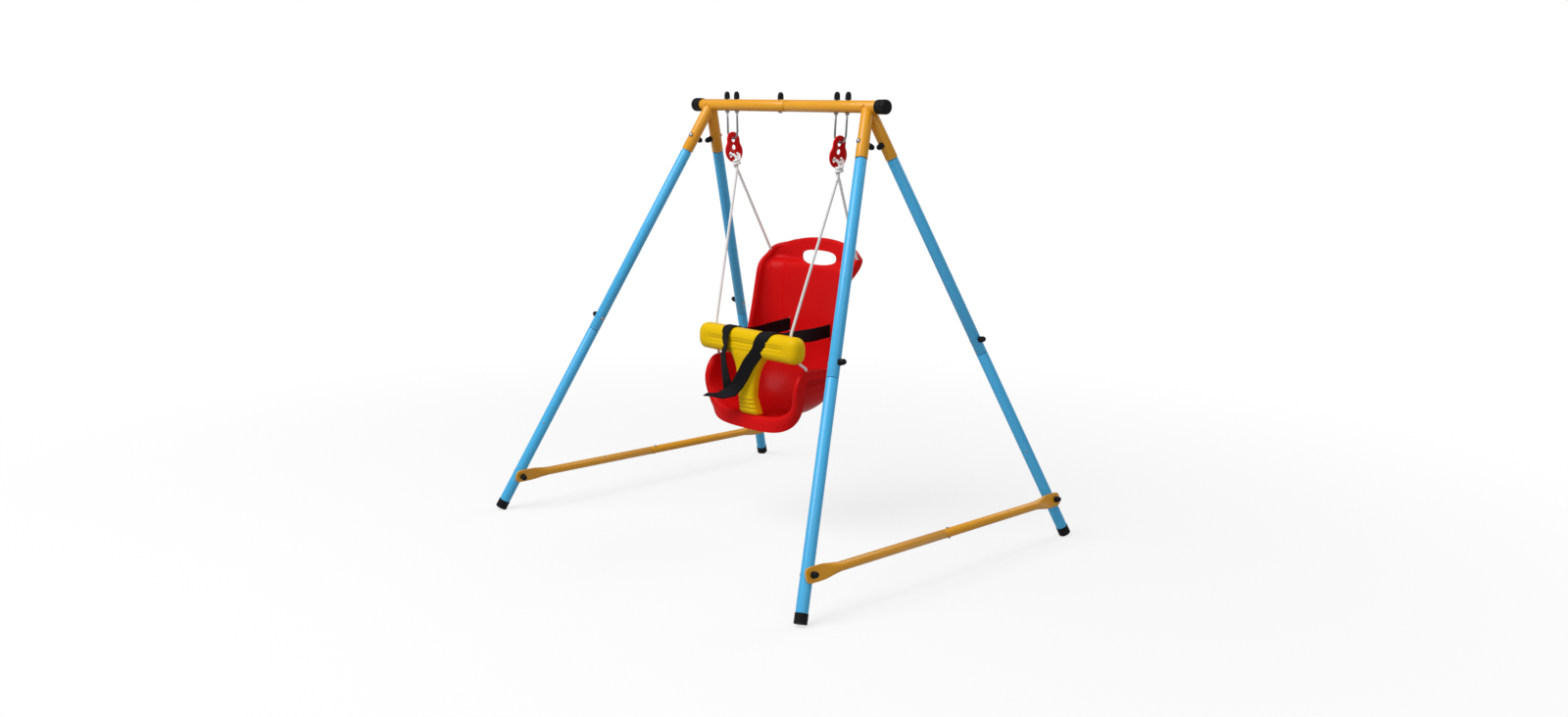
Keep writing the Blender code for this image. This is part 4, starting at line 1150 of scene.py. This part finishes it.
@dataclass
class RestraintBar:
    """The lift-up T-bar: a fat rounded bar over a tapered stem with a ribbed foot."""

    shop: Workshop
    middle: Vector = field(default_factory=lambda: Vector((0.0, -0.120, 0.5595)))
    half: tuple[float, float, float] = (0.2070, 0.0275, 0.0380)
    end_r: float = 0.026
    rope_x: float = 0.1576
    rope_y: float = -0.1133

    def over(self, x: float, angle: float, lift: float) -> Vector:
        """Return a point over the bar's surface.

        Args:
            x: The place along the bar.
            angle: The angle round it, from +Y towards +Z.
            lift: The distance off it.

        Returns:
            The point.
        """
        y, z = superellipse(angle, self.half[1] + lift, self.half[2] + lift, 0.72)
        return Vector((x, self.middle.y + y, self.middle.z + z))

    def build(self) -> None:
        """Build the moulding and drill its rope holes."""
        bar = Skin(160)
        for i in range(-24, 25):
            span = self.half[0] - self.end_r
            if abs(i) <= 12:
                x, shrink = span * i / 12, 1.0
            else:
                angle = math.radians(88.5 * (abs(i) - 12) / 12)
                x = math.copysign(span + self.end_r * math.sin(angle), i)
                shrink = math.cos(angle) ** 0.7

            def outline(angle: float) -> Vector:
                """Return a point of the bar's section, with shallow channels in its front."""
                y, z = superellipse(angle, self.half[1] * shrink, self.half[2] * shrink, 0.72)
                front = min(max((-y / self.half[1] - 0.55) / 0.35, 0.0), 1.0)
                recess = 1 / (1 + math.exp((abs(z + 0.001) - 0.0125) / 0.0008))
                groove = math.exp(-((z - 0.0005) / 0.0030) ** 2)
                fade = min(max((0.166 - abs(x)) / 0.012, 0.0), 1.0)
                sink = (0.0018 * recess + 0.0022 * groove) * fade * front
                return Vector((x, self.middle.y + y + sink, self.middle.z + z))

            bar.ring(outline)
        stem_sections = [
            (0.549, 0.078, 0.0215, -0.1205),
            (0.538, 0.076, 0.0254, -0.1205),
            (0.525, 0.069, 0.0254, -0.1212),
            (0.508, 0.056, 0.0226, -0.1228),
            (0.488, 0.046, 0.0190, -0.1252),
            (0.462, 0.039, 0.0170, -0.1268),
            (0.430, 0.034, 0.0165, -0.1270),
            (0.406, 0.032, 0.0165, -0.1258),
        ]
        stem = Skin(56)
        steps = 4 * (len(stem_sections) - 1)
        sections = [read_curve(stem_sections, i / 4) for i in range(steps + 1)]
        for k in range(32):
            share = k / 31
            swell = 0.0015 * math.cos(share * math.tau * 3.5)
            sections.append((0.402 - 0.046 * share, 0.032 + 0.006 * share, 0.0172 + 0.002 * share + swell / 2,
                             -0.1258 + 0.0125 * share - swell / 2))
        sections.append((0.3540, 0.0372, 0.0175, -0.1122))
        sections.append((0.3520, 0.0350, 0.0152, -0.1118))
        for z, half_width, half_depth, y in sections:
            stem.ring(lambda angle: Vector((superellipse(angle, half_width, half_depth, 0.55)[0],
                                            y + superellipse(angle, half_width, half_depth, 0.55)[1], z)))
        moulding = self.shop.piece("t_bar_moulding", bar.close(), YELLOW_BAR, None, ["t_bar"])
        cutters = []
        for side in Side:
            start = Vector((side.value * self.rope_x, self.rope_y, self.middle.z))
            bore = [(0.0, 0.06), (0.0056, 0.06), (0.0056, -0.06), (0.0, -0.06)]
            cutters.append(turned(bore, start, Vector((0, 0, 1)), False, 28))
            slope = [(0.0, 0.0), (0.0056, 0.0), (0.0056, -0.040), (0.0, -0.040)]
            cutters.append(turned(slope, start - Vector((0, 0, 0.018)), Vector((side.value * -0.0074, -0.0128, 0.0130)),
                                  False, 28))
        self.shop.carve(moulding, cutters, [stem.close()])
        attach(moulding, Body.LIFT.value)


@dataclass
class Ropes:
    """One rope a side, from the seat's arm through the T-bar and the rope plate to the backrest."""

    shop: Workshop
    rope_r: float = 0.004
    knot_centre: Vector = field(default_factory=lambda: Vector((0.0168, -0.0070, -0.0880)))
    knot_r: float = 0.0088
    knot_turns: float = 1.8
    knot_pitch: float = 0.0093
    strand_x: float = 0.0078
    inset: float = 0.0125
    low_hole: float = -0.0687
    arm_hole: Vector = field(default_factory=lambda: Vector((0.1850, -0.0780, 0.4990)))
    shoulder_hole: Vector = field(default_factory=lambda: Vector((0.1785, 0.1262, 0.7985)))

    def build(self, bar: RestraintBar) -> None:
        """Build both ropes.

        Args:
            bar: The restraint bar that they pass through.
        """
        for side in Side:
            self.build_lower(side, bar)
            self.build_upper(side, bar)

    def wrap(self, side: Side, steps: int = 20) -> list[Vector]:
        """Return the back strand's turns round the front strand, beside the plate's face."""
        place = LAYOUT.plate(side)
        points = []
        for i in range(int(steps * self.knot_turns) + 1):
            angle = math.pi / 2 - math.tau * i / steps
            points.append(place @ (self.knot_centre + Vector((self.knot_r * math.cos(angle), self.knot_r * math.sin(angle),
                                                              0.004 - self.knot_pitch * i / steps))))
        return points

    def eased(self, points: list[Vector], meets: Sequence[int], reach: int = 5, passes: int = 10) -> list[Vector]:
        """Return a route that is smoothed where its stretches meet.

        Args:
            points: The route's points.
            meets: The indices of the first points of its later stretches.
            reach: How many points are smoothed on each side.
            passes: How often they are smoothed.

        Returns:
            The smoother route.
        """
        for _ in range(passes):
            for meet in meets:
                for i in range(meet - reach, meet + reach):
                    points[i] = points[i] * 0.5 + (points[i - 1] + points[i + 1]) * 0.25
        return points

    def declare(self, route: Sequence[Vector]) -> None:
        """Measure the length of a stretch of rope, from where it leaves the T-bar's bore to its end knot, and drop it.

        Args:
            route: The points that it follows.
        """
        length = sum((after - before).length for before, after in zip(route, route[1:]))
        tuple(route[0])
        [tuple(point) for point in route]

    def build_lower(self, side: Side, bar: RestraintBar) -> None:
        """Build the stretch from its knot under the seat's arm to the middle of the T-bar."""
        arm = Vector((side.value * self.arm_hole.x, self.arm_hole.y, self.arm_hole.z))
        inside = Vector((side.value * bar.rope_x, bar.rope_y, bar.middle.z))
        below = inside - Vector((0, 0, 0.020))
        back = Vector((side.value * 0.1650, -0.1005, 0.5265))
        knot = [arm - Vector((0, 0, drop)) for drop in (0.020, 0.018, 0.0145, 0.011, 0.008)]
        route = rounded_path([arm - Vector((0, 0, 0.006)), arm + Vector((0, 0, 0.005)), back, below, inside], 0.006, 4)
        radii = [0.0024, 0.0056, 0.0060, 0.0056, 0.0042] + [self.rope_r] * len(route)
        skin = Skin(20)
        skin.tube(knot + route, radii)
        rope = self.shop.piece("rope_%s_lower" % side.word, skin.close(), ROPE_FINISH, None)
        self.declare((knot + route)[::-1])
        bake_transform(rope)

    def build_upper(self, side: Side, bar: RestraintBar) -> None:
        """Build the stretch from the T-bar to the plate, round its knot and down to the backrest."""
        place = LAYOUT.plate(side)
        inside = Vector((side.value * bar.rope_x, bar.rope_y, bar.middle.z + 0.0005))
        above = inside + Vector((0, 0, bar.half[2] + 0.004))
        centre = self.knot_centre
        front = rounded_path([
            inside,
            above,
            place @ (centre - Vector((0, 0, 0.020))),
            place @ (centre + Vector((0, 0, 0.009))),
            place @ Vector((0.0110, -self.inset, self.low_hole)),
            place @ Vector((-self.strand_x, -self.inset, self.low_hole)),
            place @ Vector((-self.strand_x, self.inset, self.low_hole)),
            place @ Vector((0.0110, self.inset, self.low_hole)),
            place @ (centre + Vector((-0.001, self.knot_r + 0.003, 0.009))),
        ], 0.007, 4)
        wrap = self.wrap(side)
        shoulder = Vector((side.value * self.shoulder_hole.x, self.shoulder_hole.y, self.shoulder_hole.z))
        path = (shoulder - wrap[-1]).normalized()
        leaves = wrap[-1] + path * 0.012
        steps = round((shoulder - leaves).length / 0.005)
        tail = [leaves.lerp(shoulder + path * 0.005, i / steps) for i in range(steps + 1)]
        strand = even_path(front, 0.005)
        points = self.eased(strand + wrap + tail, (len(strand), len(strand) + len(wrap)))
        radii = [self.rope_r] * len(points)
        points += [shoulder + path * reach for reach in (0.007, 0.010, 0.013, 0.015)]
        radii += [0.0046, 0.0049, 0.0046, 0.0024]
        skin = Skin(20)
        skin.tube(points, radii)
        rope = self.shop.piece("rope_%s_upper" % side.word, skin.close(), ROPE_FINISH, None, ["rope_" + side.word])
        self.declare(points)
        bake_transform(rope)


@dataclass
class SeatShell:
    """The moulded bucket seat: a formed sheet with a rolled rim."""

    shop: Workshop
    wall: float = 0.003
    pad_rise: float = 0.006
    hand_hole_z: float = 0.7895
    slot_x: float = 0.085
    slot_z: float = 0.5815
    rows: int = 88
    columns: int = 72
    stations: tuple[tuple[float, ...], ...] = (
        (-0.1165, 0.351, -0.1165, 0.436, 0.174, 3.0, 0.0125),
        (-0.1000, 0.347, -0.1080, 0.464, 0.174, 3.0, 0.0122),
        (-0.0700, 0.344, -0.0880, 0.486, 0.174, 2.9, 0.0118),
        (-0.0250, 0.343, -0.0450, 0.4895, 0.174, 2.8, 0.0115),
        (0.0200, 0.347, -0.0080, 0.4895, 0.174, 2.7, 0.0115),
        (0.0560, 0.363, 0.0140, 0.4910, 0.176, 2.7, 0.0115),
        (0.0850, 0.393, 0.0270, 0.4980, 0.178, 2.7, 0.0110),
        (0.1080, 0.428, 0.0345, 0.5150, 0.177, 2.6, 0.0100),
        (0.1210, 0.467, 0.0415, 0.5380, 0.176, 2.5, 0.0092),
        (0.1270, 0.516, 0.0475, 0.5680, 0.174, 2.4, 0.0090),
        (0.1290, 0.568, 0.0535, 0.6030, 0.172, 2.4, 0.0090),
        (0.1300, 0.625, 0.0635, 0.6520, 0.172, 2.4, 0.0090),
        (0.1310, 0.685, 0.0725, 0.7020, 0.172, 2.4, 0.0090),
        (0.1330, 0.740, 0.0820, 0.7460, 0.172, 2.5, 0.0090),
        (0.1360, 0.764, 0.0970, 0.7660, 0.175, 2.8, 0.0090),
        (0.1520, 0.779, 0.1180, 0.7830, 0.1720, 3.4, 0.0090),
        (0.1550, 0.801, 0.1320, 0.8010, 0.166, 3.6, 0.0090),
        (0.1570, 0.821, 0.1450, 0.8150, 0.141, 3.2, 0.0090),
        (0.1580, 0.839, 0.1540, 0.8295, 0.110, 2.6, 0.0090),
    )

    def point(self, station: Sequence[float], across: float) -> Vector:
        """Return a point of the shell's inner face.

        Args:
            station: The section's values: low y and z, high y and z, half width, squareness, rim radius.
            across: From -1 to 1 between the side walls.

        Returns:
            The point.
        """
        low_y, low_z, high_y, high_z, half_width, squareness, _ = station
        angle = abs(across) * math.pi / 2
        power = 2 / squareness
        x = math.copysign(half_width * math.sin(angle) ** power, across) if across else 0.0
        rise = 1 - math.cos(angle) ** power if abs(across) < 1 else 1.0
        crown = min(max((low_z - 0.785) / 0.054, 0.0), 1.0)
        x += (half_width * across - x) * crown
        rise += ((x / half_width) ** 2 - rise) * crown
        pad_x = min(max((0.125 - abs(x)) / 0.022, 0.0), 1.0)
        pad_z = min(max((low_z - 0.500) / 0.060, 0.0), 1.0) if low_z < 0.772 else 0.0
        pad = self.pad_rise * pad_x * pad_x * (3 - 2 * pad_x) * pad_z
        return Vector((x, low_y + (high_y - low_y) * rise - pad, low_z + (high_z - low_z) * rise))

    def roll(self, bm: bmesh.types.BMesh, border: list[bmesh.types.BMVert], radii: list[float]) -> None:
        """Extrude the border into a rolled rim, which hangs straight down at the front lip.

        Args:
            bm: The shell.
            border: The border's points in order.
            radii: The rim's radius at each.
        """
        count = len(border)
        order = bm.verts.layers.int["order"]
        for k, vert in enumerate(border):
            vert[order] = k + 1
        frames = []
        for k, vert in enumerate(border):
            along = (border[(k + 1) % count].co - border[k - 1].co).normalized()
            frames.append((vert.co.copy(), along.cross(vert.normal).normalized(), vert.normal.copy(), radii[k]))
        for _ in range(12):
            around = [(frames[k - 1], frames[k], frames[(k + 1) % count]) for k in range(count)]
            frames = [(here[0], (before[1] + here[1] * 2 + after[1]).normalized(),
                       (before[2] + here[2] * 2 + after[2]).normalized(), here[3]) for before, here, after in around]
        side_roll = ((0.0, 0.0), (0.38, 0.08), (0.70, 0.30), (0.92, 0.62), (1.0, 1.0), (0.94, 1.32), (0.70, 1.60),
                     (-1.60, 1.90))
        lip_roll = ((0.0, 0.0), (0.38, 0.08), (0.70, 0.30), (0.92, 0.62), (1.0, 1.0), (1.03, 1.60), (1.05, 2.20),
                    (0.95, 3.60))
        edges = [bm.edges.get((border[k], border[(k + 1) % count])) for k in range(count)]
        for side_step, lip_step in zip(side_roll[1:], lip_roll[1:]):
            fresh = bmesh.ops.extrude_edge_only(bm, edges=edges)["geom"]
            edges = [item for item in fresh if isinstance(item, bmesh.types.BMEdge)]
            for vert in (item for item in fresh if isinstance(item, bmesh.types.BMVert)):
                start, outward, normal, radius = frames[vert[order] - 1]
                lip = min(max(normal.z, 0.0), 1.0)
                reach = side_step[0] + (lip_step[0] - side_step[0]) * lip
                drop = side_step[1] + (lip_step[1] - side_step[1]) * lip
                vert.co = start + outward * reach * radius - normal * drop * radius

    def build(self) -> None:
        """Build the shell, give it its wall and cut its holes."""
        bm = bmesh.new()
        bm.verts.layers.int.new("order")
        bmesh.ops.create_grid(bm, x_segments=self.columns, y_segments=self.rows, size=1.0)
        grid, radii = {}, {}
        for vert in bm.verts:
            i = round((vert.co.y + 1) / 2 * self.rows)
            j = round((vert.co.x + 1) / 2 * self.columns)
            station = read_curve(self.stations, i / self.rows * (len(self.stations) - 1))
            vert.co = self.point(station, j / self.columns * 2 - 1)
            grid[i, j] = vert
            radii[vert] = station[6]
        bmesh.ops.recalc_face_normals(bm, faces=bm.faces)
        bm.normal_update()
        middle = grid[12, self.columns // 2]
        if middle.normal.z < 0:
            bmesh.ops.reverse_faces(bm, faces=bm.faces)
            bm.normal_update()
        border = [grid[0, j] for j in range(self.columns + 1)]
        border += [grid[i, self.columns] for i in range(1, self.rows + 1)]
        border += [grid[self.rows, j] for j in range(self.columns - 1, -1, -1)]
        border += [grid[i, 0] for i in range(self.rows - 1, 0, -1)]
        self.roll(bm, border, [radii[vert] for vert in border])
        bmesh.ops.recalc_face_normals(bm, faces=bm.faces)
        bm.normal_update()
        if middle.normal.z < 0:
            bmesh.ops.reverse_faces(bm, faces=bm.faces)
        seat = self.shop.piece("seat_shell_moulding", bm, RED_SHELL, None, ["seat_shell"])
        wall = seat.modifiers.new("wall", "SOLIDIFY")
        wall.thickness = self.wall
        wall.offset = -1.0
        wall.use_even_offset = True
        wall.use_quality_normals = True
        self.shop.carve(seat, self.holes())
        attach(seat, Body.SWING.value)
        for side in Side:
            self.build_bead(side)

    def holes(self) -> list[bmesh.types.BMesh]:
        """Return the shapes of the hand hole, the belt slots and the rope holes."""
        hand = Skin(48)
        for y in (0.120, 0.190):
            hand.ring(lambda angle: Vector((superellipse(angle, 0.070, 0.0205, 0.72)[0], y,
                                            self.hand_hole_z + superellipse(angle, 0.070, 0.0205, 0.72)[1])))
        shapes = [hand.close()]
        for side in Side:
            slot = Skin(24)
            for y in (0.100, 0.150):
                slot.ring(lambda angle: Vector((side.value * self.slot_x + superellipse(angle, 0.003, 0.021, 0.4)[0], y,
                                                self.slot_z + superellipse(angle, 0.003, 0.021, 0.4)[1])))
            shapes.append(slot.close())
            bore = [(0.0, 0.014), (0.0053, 0.014), (0.0053, -0.012), (0.0, -0.012)]
            shapes.append(turned(bore, Vector((side.value * 0.1850, -0.0780, 0.4990)), Vector((0, 0, 1)), False, 24))
            way = Vector((side.value * -0.02, 0.36, -0.93))
            shapes.append(turned(bore, Vector((side.value * 0.1785, 0.1262, 0.7985)), way, False, 24))
        return shapes

    def build_bead(self, side: Side) -> None:
        """Build the raised line that follows the rim on one outer side wall."""
        points = []
        for i in range(37):
            station = read_curve(self.stations, 1.2 + 8.6 * i / 36)
            near = self.point(station, side.value * 0.90)
            inner = self.point(station, side.value * 0.87)
            later = self.point(read_curve(self.stations, 1.25 + 8.6 * i / 36), side.value * 0.90)
            normal = (near - inner).cross(later - near).normalized()
            if normal.x * side.value < 0:
                normal = -normal
            points.append(near + normal * (self.wall - 0.0002))
        skin = Skin(10)
        skin.tube(points, [0.0008] + [0.0022] * (len(points) - 2) + [0.0008])
        self.shop.piece("seat_side_bead_" + side.word, skin.close(), RED_SHELL, Body.SWING)


@dataclass
class LapBelt:
    """The webbing lap belt: behind the backrest, through its slots and over the T-bar."""

    shop: Workshop
    half_width: float = 0.019
    thick: float = 0.0016
    slot_x: float = 0.085
    slot_z: float = 0.5815

    def build(self, bar: RestraintBar) -> None:
        """Build the belt as one strap.

        Args:
            bar: The restraint bar that it lies over.
        """
        lift = 0.0030
        left = self.over_bar(bar, -0.078, -0.076, lift)
        left_ways = [Vector((1, -0.42 * (i / 14) ** 2, 0)) for i in range(len(left))]
        left += [Vector((-0.074, -0.1590, 0.520)), Vector((-0.069, -0.1600, 0.488)),
                 Vector((-0.061, -0.1590, 0.452)), Vector((-0.053, -0.1560, 0.418))]
        left_ways += [Vector((1, -0.42, 0)), Vector((1, -0.28, 0)), Vector((1, -0.10, 0)), Vector((1, 0.1, 0.1))]
        right = self.over_bar(bar, 0.092, 0.060, lift)
        right_ways = [Vector((1, 0.5 * (i / 14) ** 2, 0)) for i in range(len(right))]
        right += [Vector((0.036, -0.1600, 0.508)), Vector((0.017, -0.1630, 0.474)),
                  Vector((-0.003, -0.1650, 0.444)), Vector((-0.022, -0.1670, 0.422)),
                  Vector((-0.052, -0.1745, 0.409)), Vector((-0.078, -0.1860, 0.403)), Vector((-0.104, -0.2020, 0.402))]
        right_ways += [Vector((0.7, 0.55, -0.4)), Vector((0.7, 0.5, -0.4)), Vector((0.7, 0.35, -0.5)),
                       Vector((0.65, 0.0, -0.7)), Vector((0.5, -0.5, -0.6)), Vector((0.6, -0.8, -0.1)),
                       Vector((0.6, -0.8, 0.0))]
        near, near_ways = self.stretch(left[0], -1)
        far, far_ways = self.stretch(right[0], 1)
        behind = [Vector((-self.slot_x, 0.120, self.slot_z)), Vector((-self.slot_x, 0.1240, self.slot_z)),
                  Vector((-self.slot_x + 0.0030, 0.1265, self.slot_z)),
                  Vector((-self.slot_x + 0.010, 0.1280, self.slot_z)),
                  Vector((-self.slot_x / 2, 0.1300, self.slot_z)), Vector((0.0, 0.1310, self.slot_z))]
        behind += [Vector((-point.x, point.y, point.z)) for point in reversed(behind[:-1])]
        points = left[::-1] + near + behind + far[::-1] + right
        ways = left_ways[::-1] + near_ways + [Vector((0, 0, 1))] * len(behind) + far_ways[::-1]
        ways += [-way for way in right_ways]
        belt = self.strap("lap_belt", points, ways, ["belt_front_left", "belt_rear", "belt_front_right"])
        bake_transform(belt)

    def over_bar(self, bar: RestraintBar, first_x: float, last_x: float, lift: float) -> list[Vector]:
        """Return the points of a strap that lies over the T-bar, from its back to its front."""
        points = []
        for i in range(15):
            share = i / 14
            angle = math.radians(50 + 145 * share)
            points.append(bar.over(first_x + (last_x - first_x) * share ** 2, angle, lift))
        return points

    def stretch(self, start: Vector, side: int) -> tuple[list[Vector], list[Vector]]:
        """Return a stretch from the T-bar's top to a slot: its points and its widths' directions.

        Args:
            start: The strap's point on the T-bar.
            side: -1 for the left slot and 1 for the right one.

        Returns:
            The points, and the direction across the strap at each.
        """
        slot = Vector((side * self.slot_x, 0.112, self.slot_z))
        points, ways = [], []
        for share in (0.06, 0.14, 0.22, 0.30, 0.40, 0.50, 0.60, 0.72, 0.84, 0.95):
            sag = Vector((0, 0, -0.010 * math.sin(math.pi * share)))
            points.append(start.lerp(slot, share) + sag)
            ways.append(Vector((-side, 0, 0)).lerp(Vector((0, 0, 1)), min(share * 1.25, 1.0)))
        return points, ways

    def strap(self, name: str, points: Sequence[Vector], ways: Sequence[Vector],
              nodes: Sequence[str]) -> bpy.types.Object:
        """Build a flat strap along a route.

        Args:
            name: The piece's name.
            points: The route.
            ways: The direction across the strap at each point.
            nodes: The CAD nodes that it stands for.

        Returns:
            The strap.
        """
        across, count = 8, len(points) - 1
        bm = bmesh.new()
        bmesh.ops.create_grid(bm, x_segments=across, y_segments=count, size=1.0)
        lengths = [0.0]
        for before, after in zip(points, points[1:]):
            lengths.append(lengths[-1] + (after - before).length)
        chart = bm.loops.layers.uv.new("UVMap")
        for face in bm.faces:
            for corner in face.loops:
                k = round((corner.vert.co.y + 1) / 2 * count)
                corner[chart].uv = ((corner.vert.co.x + 1) / 2, lengths[k])
        for vert in bm.verts:
            k = round((vert.co.y + 1) / 2 * count)
            ahead = (points[min(k + 1, count)] - points[max(k - 1, 0)]).normalized()
            way = (ways[k] - ahead * ways[k].dot(ahead)).normalized()
            vert.co = points[k] + way * vert.co.x * self.half_width
        bmesh.ops.recalc_face_normals(bm, faces=bm.faces)
        strap = self.shop.piece(name, bm, WEBBING_FINISH, None, nodes, sharp=60)
        body = strap.modifiers.new("thickness", "SOLIDIFY")
        body.thickness = self.thick
        body.offset = 0.0
        return strap


@dataclass
class Studio:
    """Pale floor, soft lights and the photograph's camera."""

    turn: float = 0.79705086
    tilt: float = 0.17765143
    roll: float = 0.01842580
    eye: Vector = field(default_factory=lambda: Vector((2.84339, -2.76288, 1.21188)))
    focal_px: float = 1396.347
    image_px: int = 1600
    ambient: float = 0.34
    bounce: float = 0.34
    gloss: float = 0.6

    def build(self) -> None:
        """Build the camera, the floor, the lamps and the world."""
        self.build_camera()
        self.build_floor()
        self.build_lamps()
        self.build_world()
        bpy.context.scene.view_settings.view_transform = "Standard"

    def build_camera(self) -> None:
        """Place the camera where the photograph was taken from."""
        data = bpy.data.cameras.new("photo_camera")
        data.sensor_width = 36.0
        data.sensor_fit = "HORIZONTAL"
        data.lens = self.focal_px / self.image_px * data.sensor_width
        data.clip_start = 0.05
        data.clip_end = 60.0
        camera = bpy.data.objects.new("photo_camera", data)
        bpy.context.scene.collection.objects.link(camera)
        back = Vector((math.sin(self.turn) * math.cos(self.tilt), -math.cos(self.turn) * math.cos(self.tilt),
                       math.sin(self.tilt)))
        right = Vector((math.cos(self.turn), math.sin(self.turn), 0))
        up = back.cross(right)
        level = Matrix((right, up, back)).transposed().to_4x4()
        camera.matrix_world = Matrix.Translation(self.eye) @ level @ Matrix.Rotation(self.roll, 4, "Z")
        bpy.context.scene.camera = camera

    def build_floor(self) -> None:
        """Lay a wide white floor that keeps the shadow."""
        bm = bmesh.new()
        bmesh.ops.create_grid(bm, x_segments=2, y_segments=2, size=14.0)
        mesh = bpy.data.meshes.new("floor")
        bm.to_mesh(mesh)
        bm.free()
        floor = bpy.data.objects.new("floor", mesh)
        bpy.context.scene.collection.objects.link(floor)
        shader = Shader("floor_white")
        seen = shader.node("ShaderNodeLightPath", output="Is Camera Ray")
        glossy = shader.node("ShaderNodeLightPath", output="Is Glossy Ray")
        shader.dress(Base_Color=shader.blend(seen, (self.bounce,) * 3, (0.92,) * 3), Roughness=0.9)
        glow = shader.node("ShaderNodeEmission", None, {"Color": (1.0, 1.0, 1.0, 1.0), "Strength": 1.0})
        lit = Wire(shader, shader.surface.outputs[0])
        far = shader.node("ShaderNodeVectorMath", {"operation": "LENGTH"}, {0: shader.place()}, "Value")
        share = 0.72 + far.band(0.8, 3.2) * 0.28
        mixed = shader.node("ShaderNodeMixShader", None, {0: (seen + glossy * self.gloss) * share, 1: lit, 2: glow})
        shader.tree.links.new(mixed.socket, shader.tree.nodes["Material Output"].inputs["Surface"])
        mesh.materials.append(shader.material)

    def build_lamps(self) -> None:
        """Hang a large key light, a fill and a rim light."""
        lamps = (
            ("key", Vector((-0.7, -3.0, 4.0)), 3.4, 156.0),
            ("fill", Vector((3.8, -1.6, 2.4)), 2.6, 20.0),
            ("rim", Vector((0.5, 3.2, 3.2)), 2.2, 34.0),
        )
        for name, place, size, power in lamps:
            data = bpy.data.lights.new(name, "AREA")
            data.shape = "DISK"
            data.size = size
            data.energy = power
            lamp = bpy.data.objects.new(name, data)
            bpy.context.scene.collection.objects.link(lamp)
            lamp.location = place
            aim = Vector((0, 0, 0.6)) - place
            lamp.rotation_euler = aim.to_track_quat("-Z", "Y").to_euler()

    def build_world(self) -> None:
        """Set an even dim sky that shows as white behind the object and through clear parts."""
        world = bpy.data.worlds.new("studio")
        world.use_nodes = True
        bpy.context.scene.world = world
        tree = world.node_tree
        tree.nodes.clear()
        out = tree.nodes.new("ShaderNodeOutputWorld")
        path = tree.nodes.new("ShaderNodeLightPath")
        sky = tree.nodes.new("ShaderNodeBackground")
        sky.inputs["Strength"].default_value = self.ambient
        white = tree.nodes.new("ShaderNodeBackground")
        white.inputs["Color"].default_value = (1.0, 1.0, 1.0, 1.0)
        sky.inputs["Color"].default_value = (1.0, 1.0, 1.0, 1.0)
        seen = tree.nodes.new("ShaderNodeMath")
        seen.operation = "ADD"
        seen.use_clamp = True
        tree.links.new(path.outputs["Is Camera Ray"], seen.inputs[0])
        tree.links.new(path.outputs["Is Transmission Ray"], seen.inputs[1])
        mix = tree.nodes.new("ShaderNodeMixShader")
        tree.links.new(seen.outputs[0], mix.inputs[0])
        tree.links.new(sky.outputs[0], mix.inputs[1])
        tree.links.new(white.outputs[0], mix.inputs[2])
        tree.links.new(mix.outputs[0], out.inputs["Surface"])


def main() -> None:
    """Build the scene in order."""
    logging.basicConfig(level=logging.INFO, format="%(name)s: %(message)s")
    Studio().build()
    shop = Workshop()
    bar = RestraintBar(shop)
    Ropes(shop).build(bar)
    TubeFrame(shop).build()
    Caps(shop).build()
    Fasteners(shop).build()
    Hangers(shop).build()
    SeatShell(shop).build()
    bar.build()
    LapBelt(shop).build(bar)


if __name__ == "__main__":
    main()
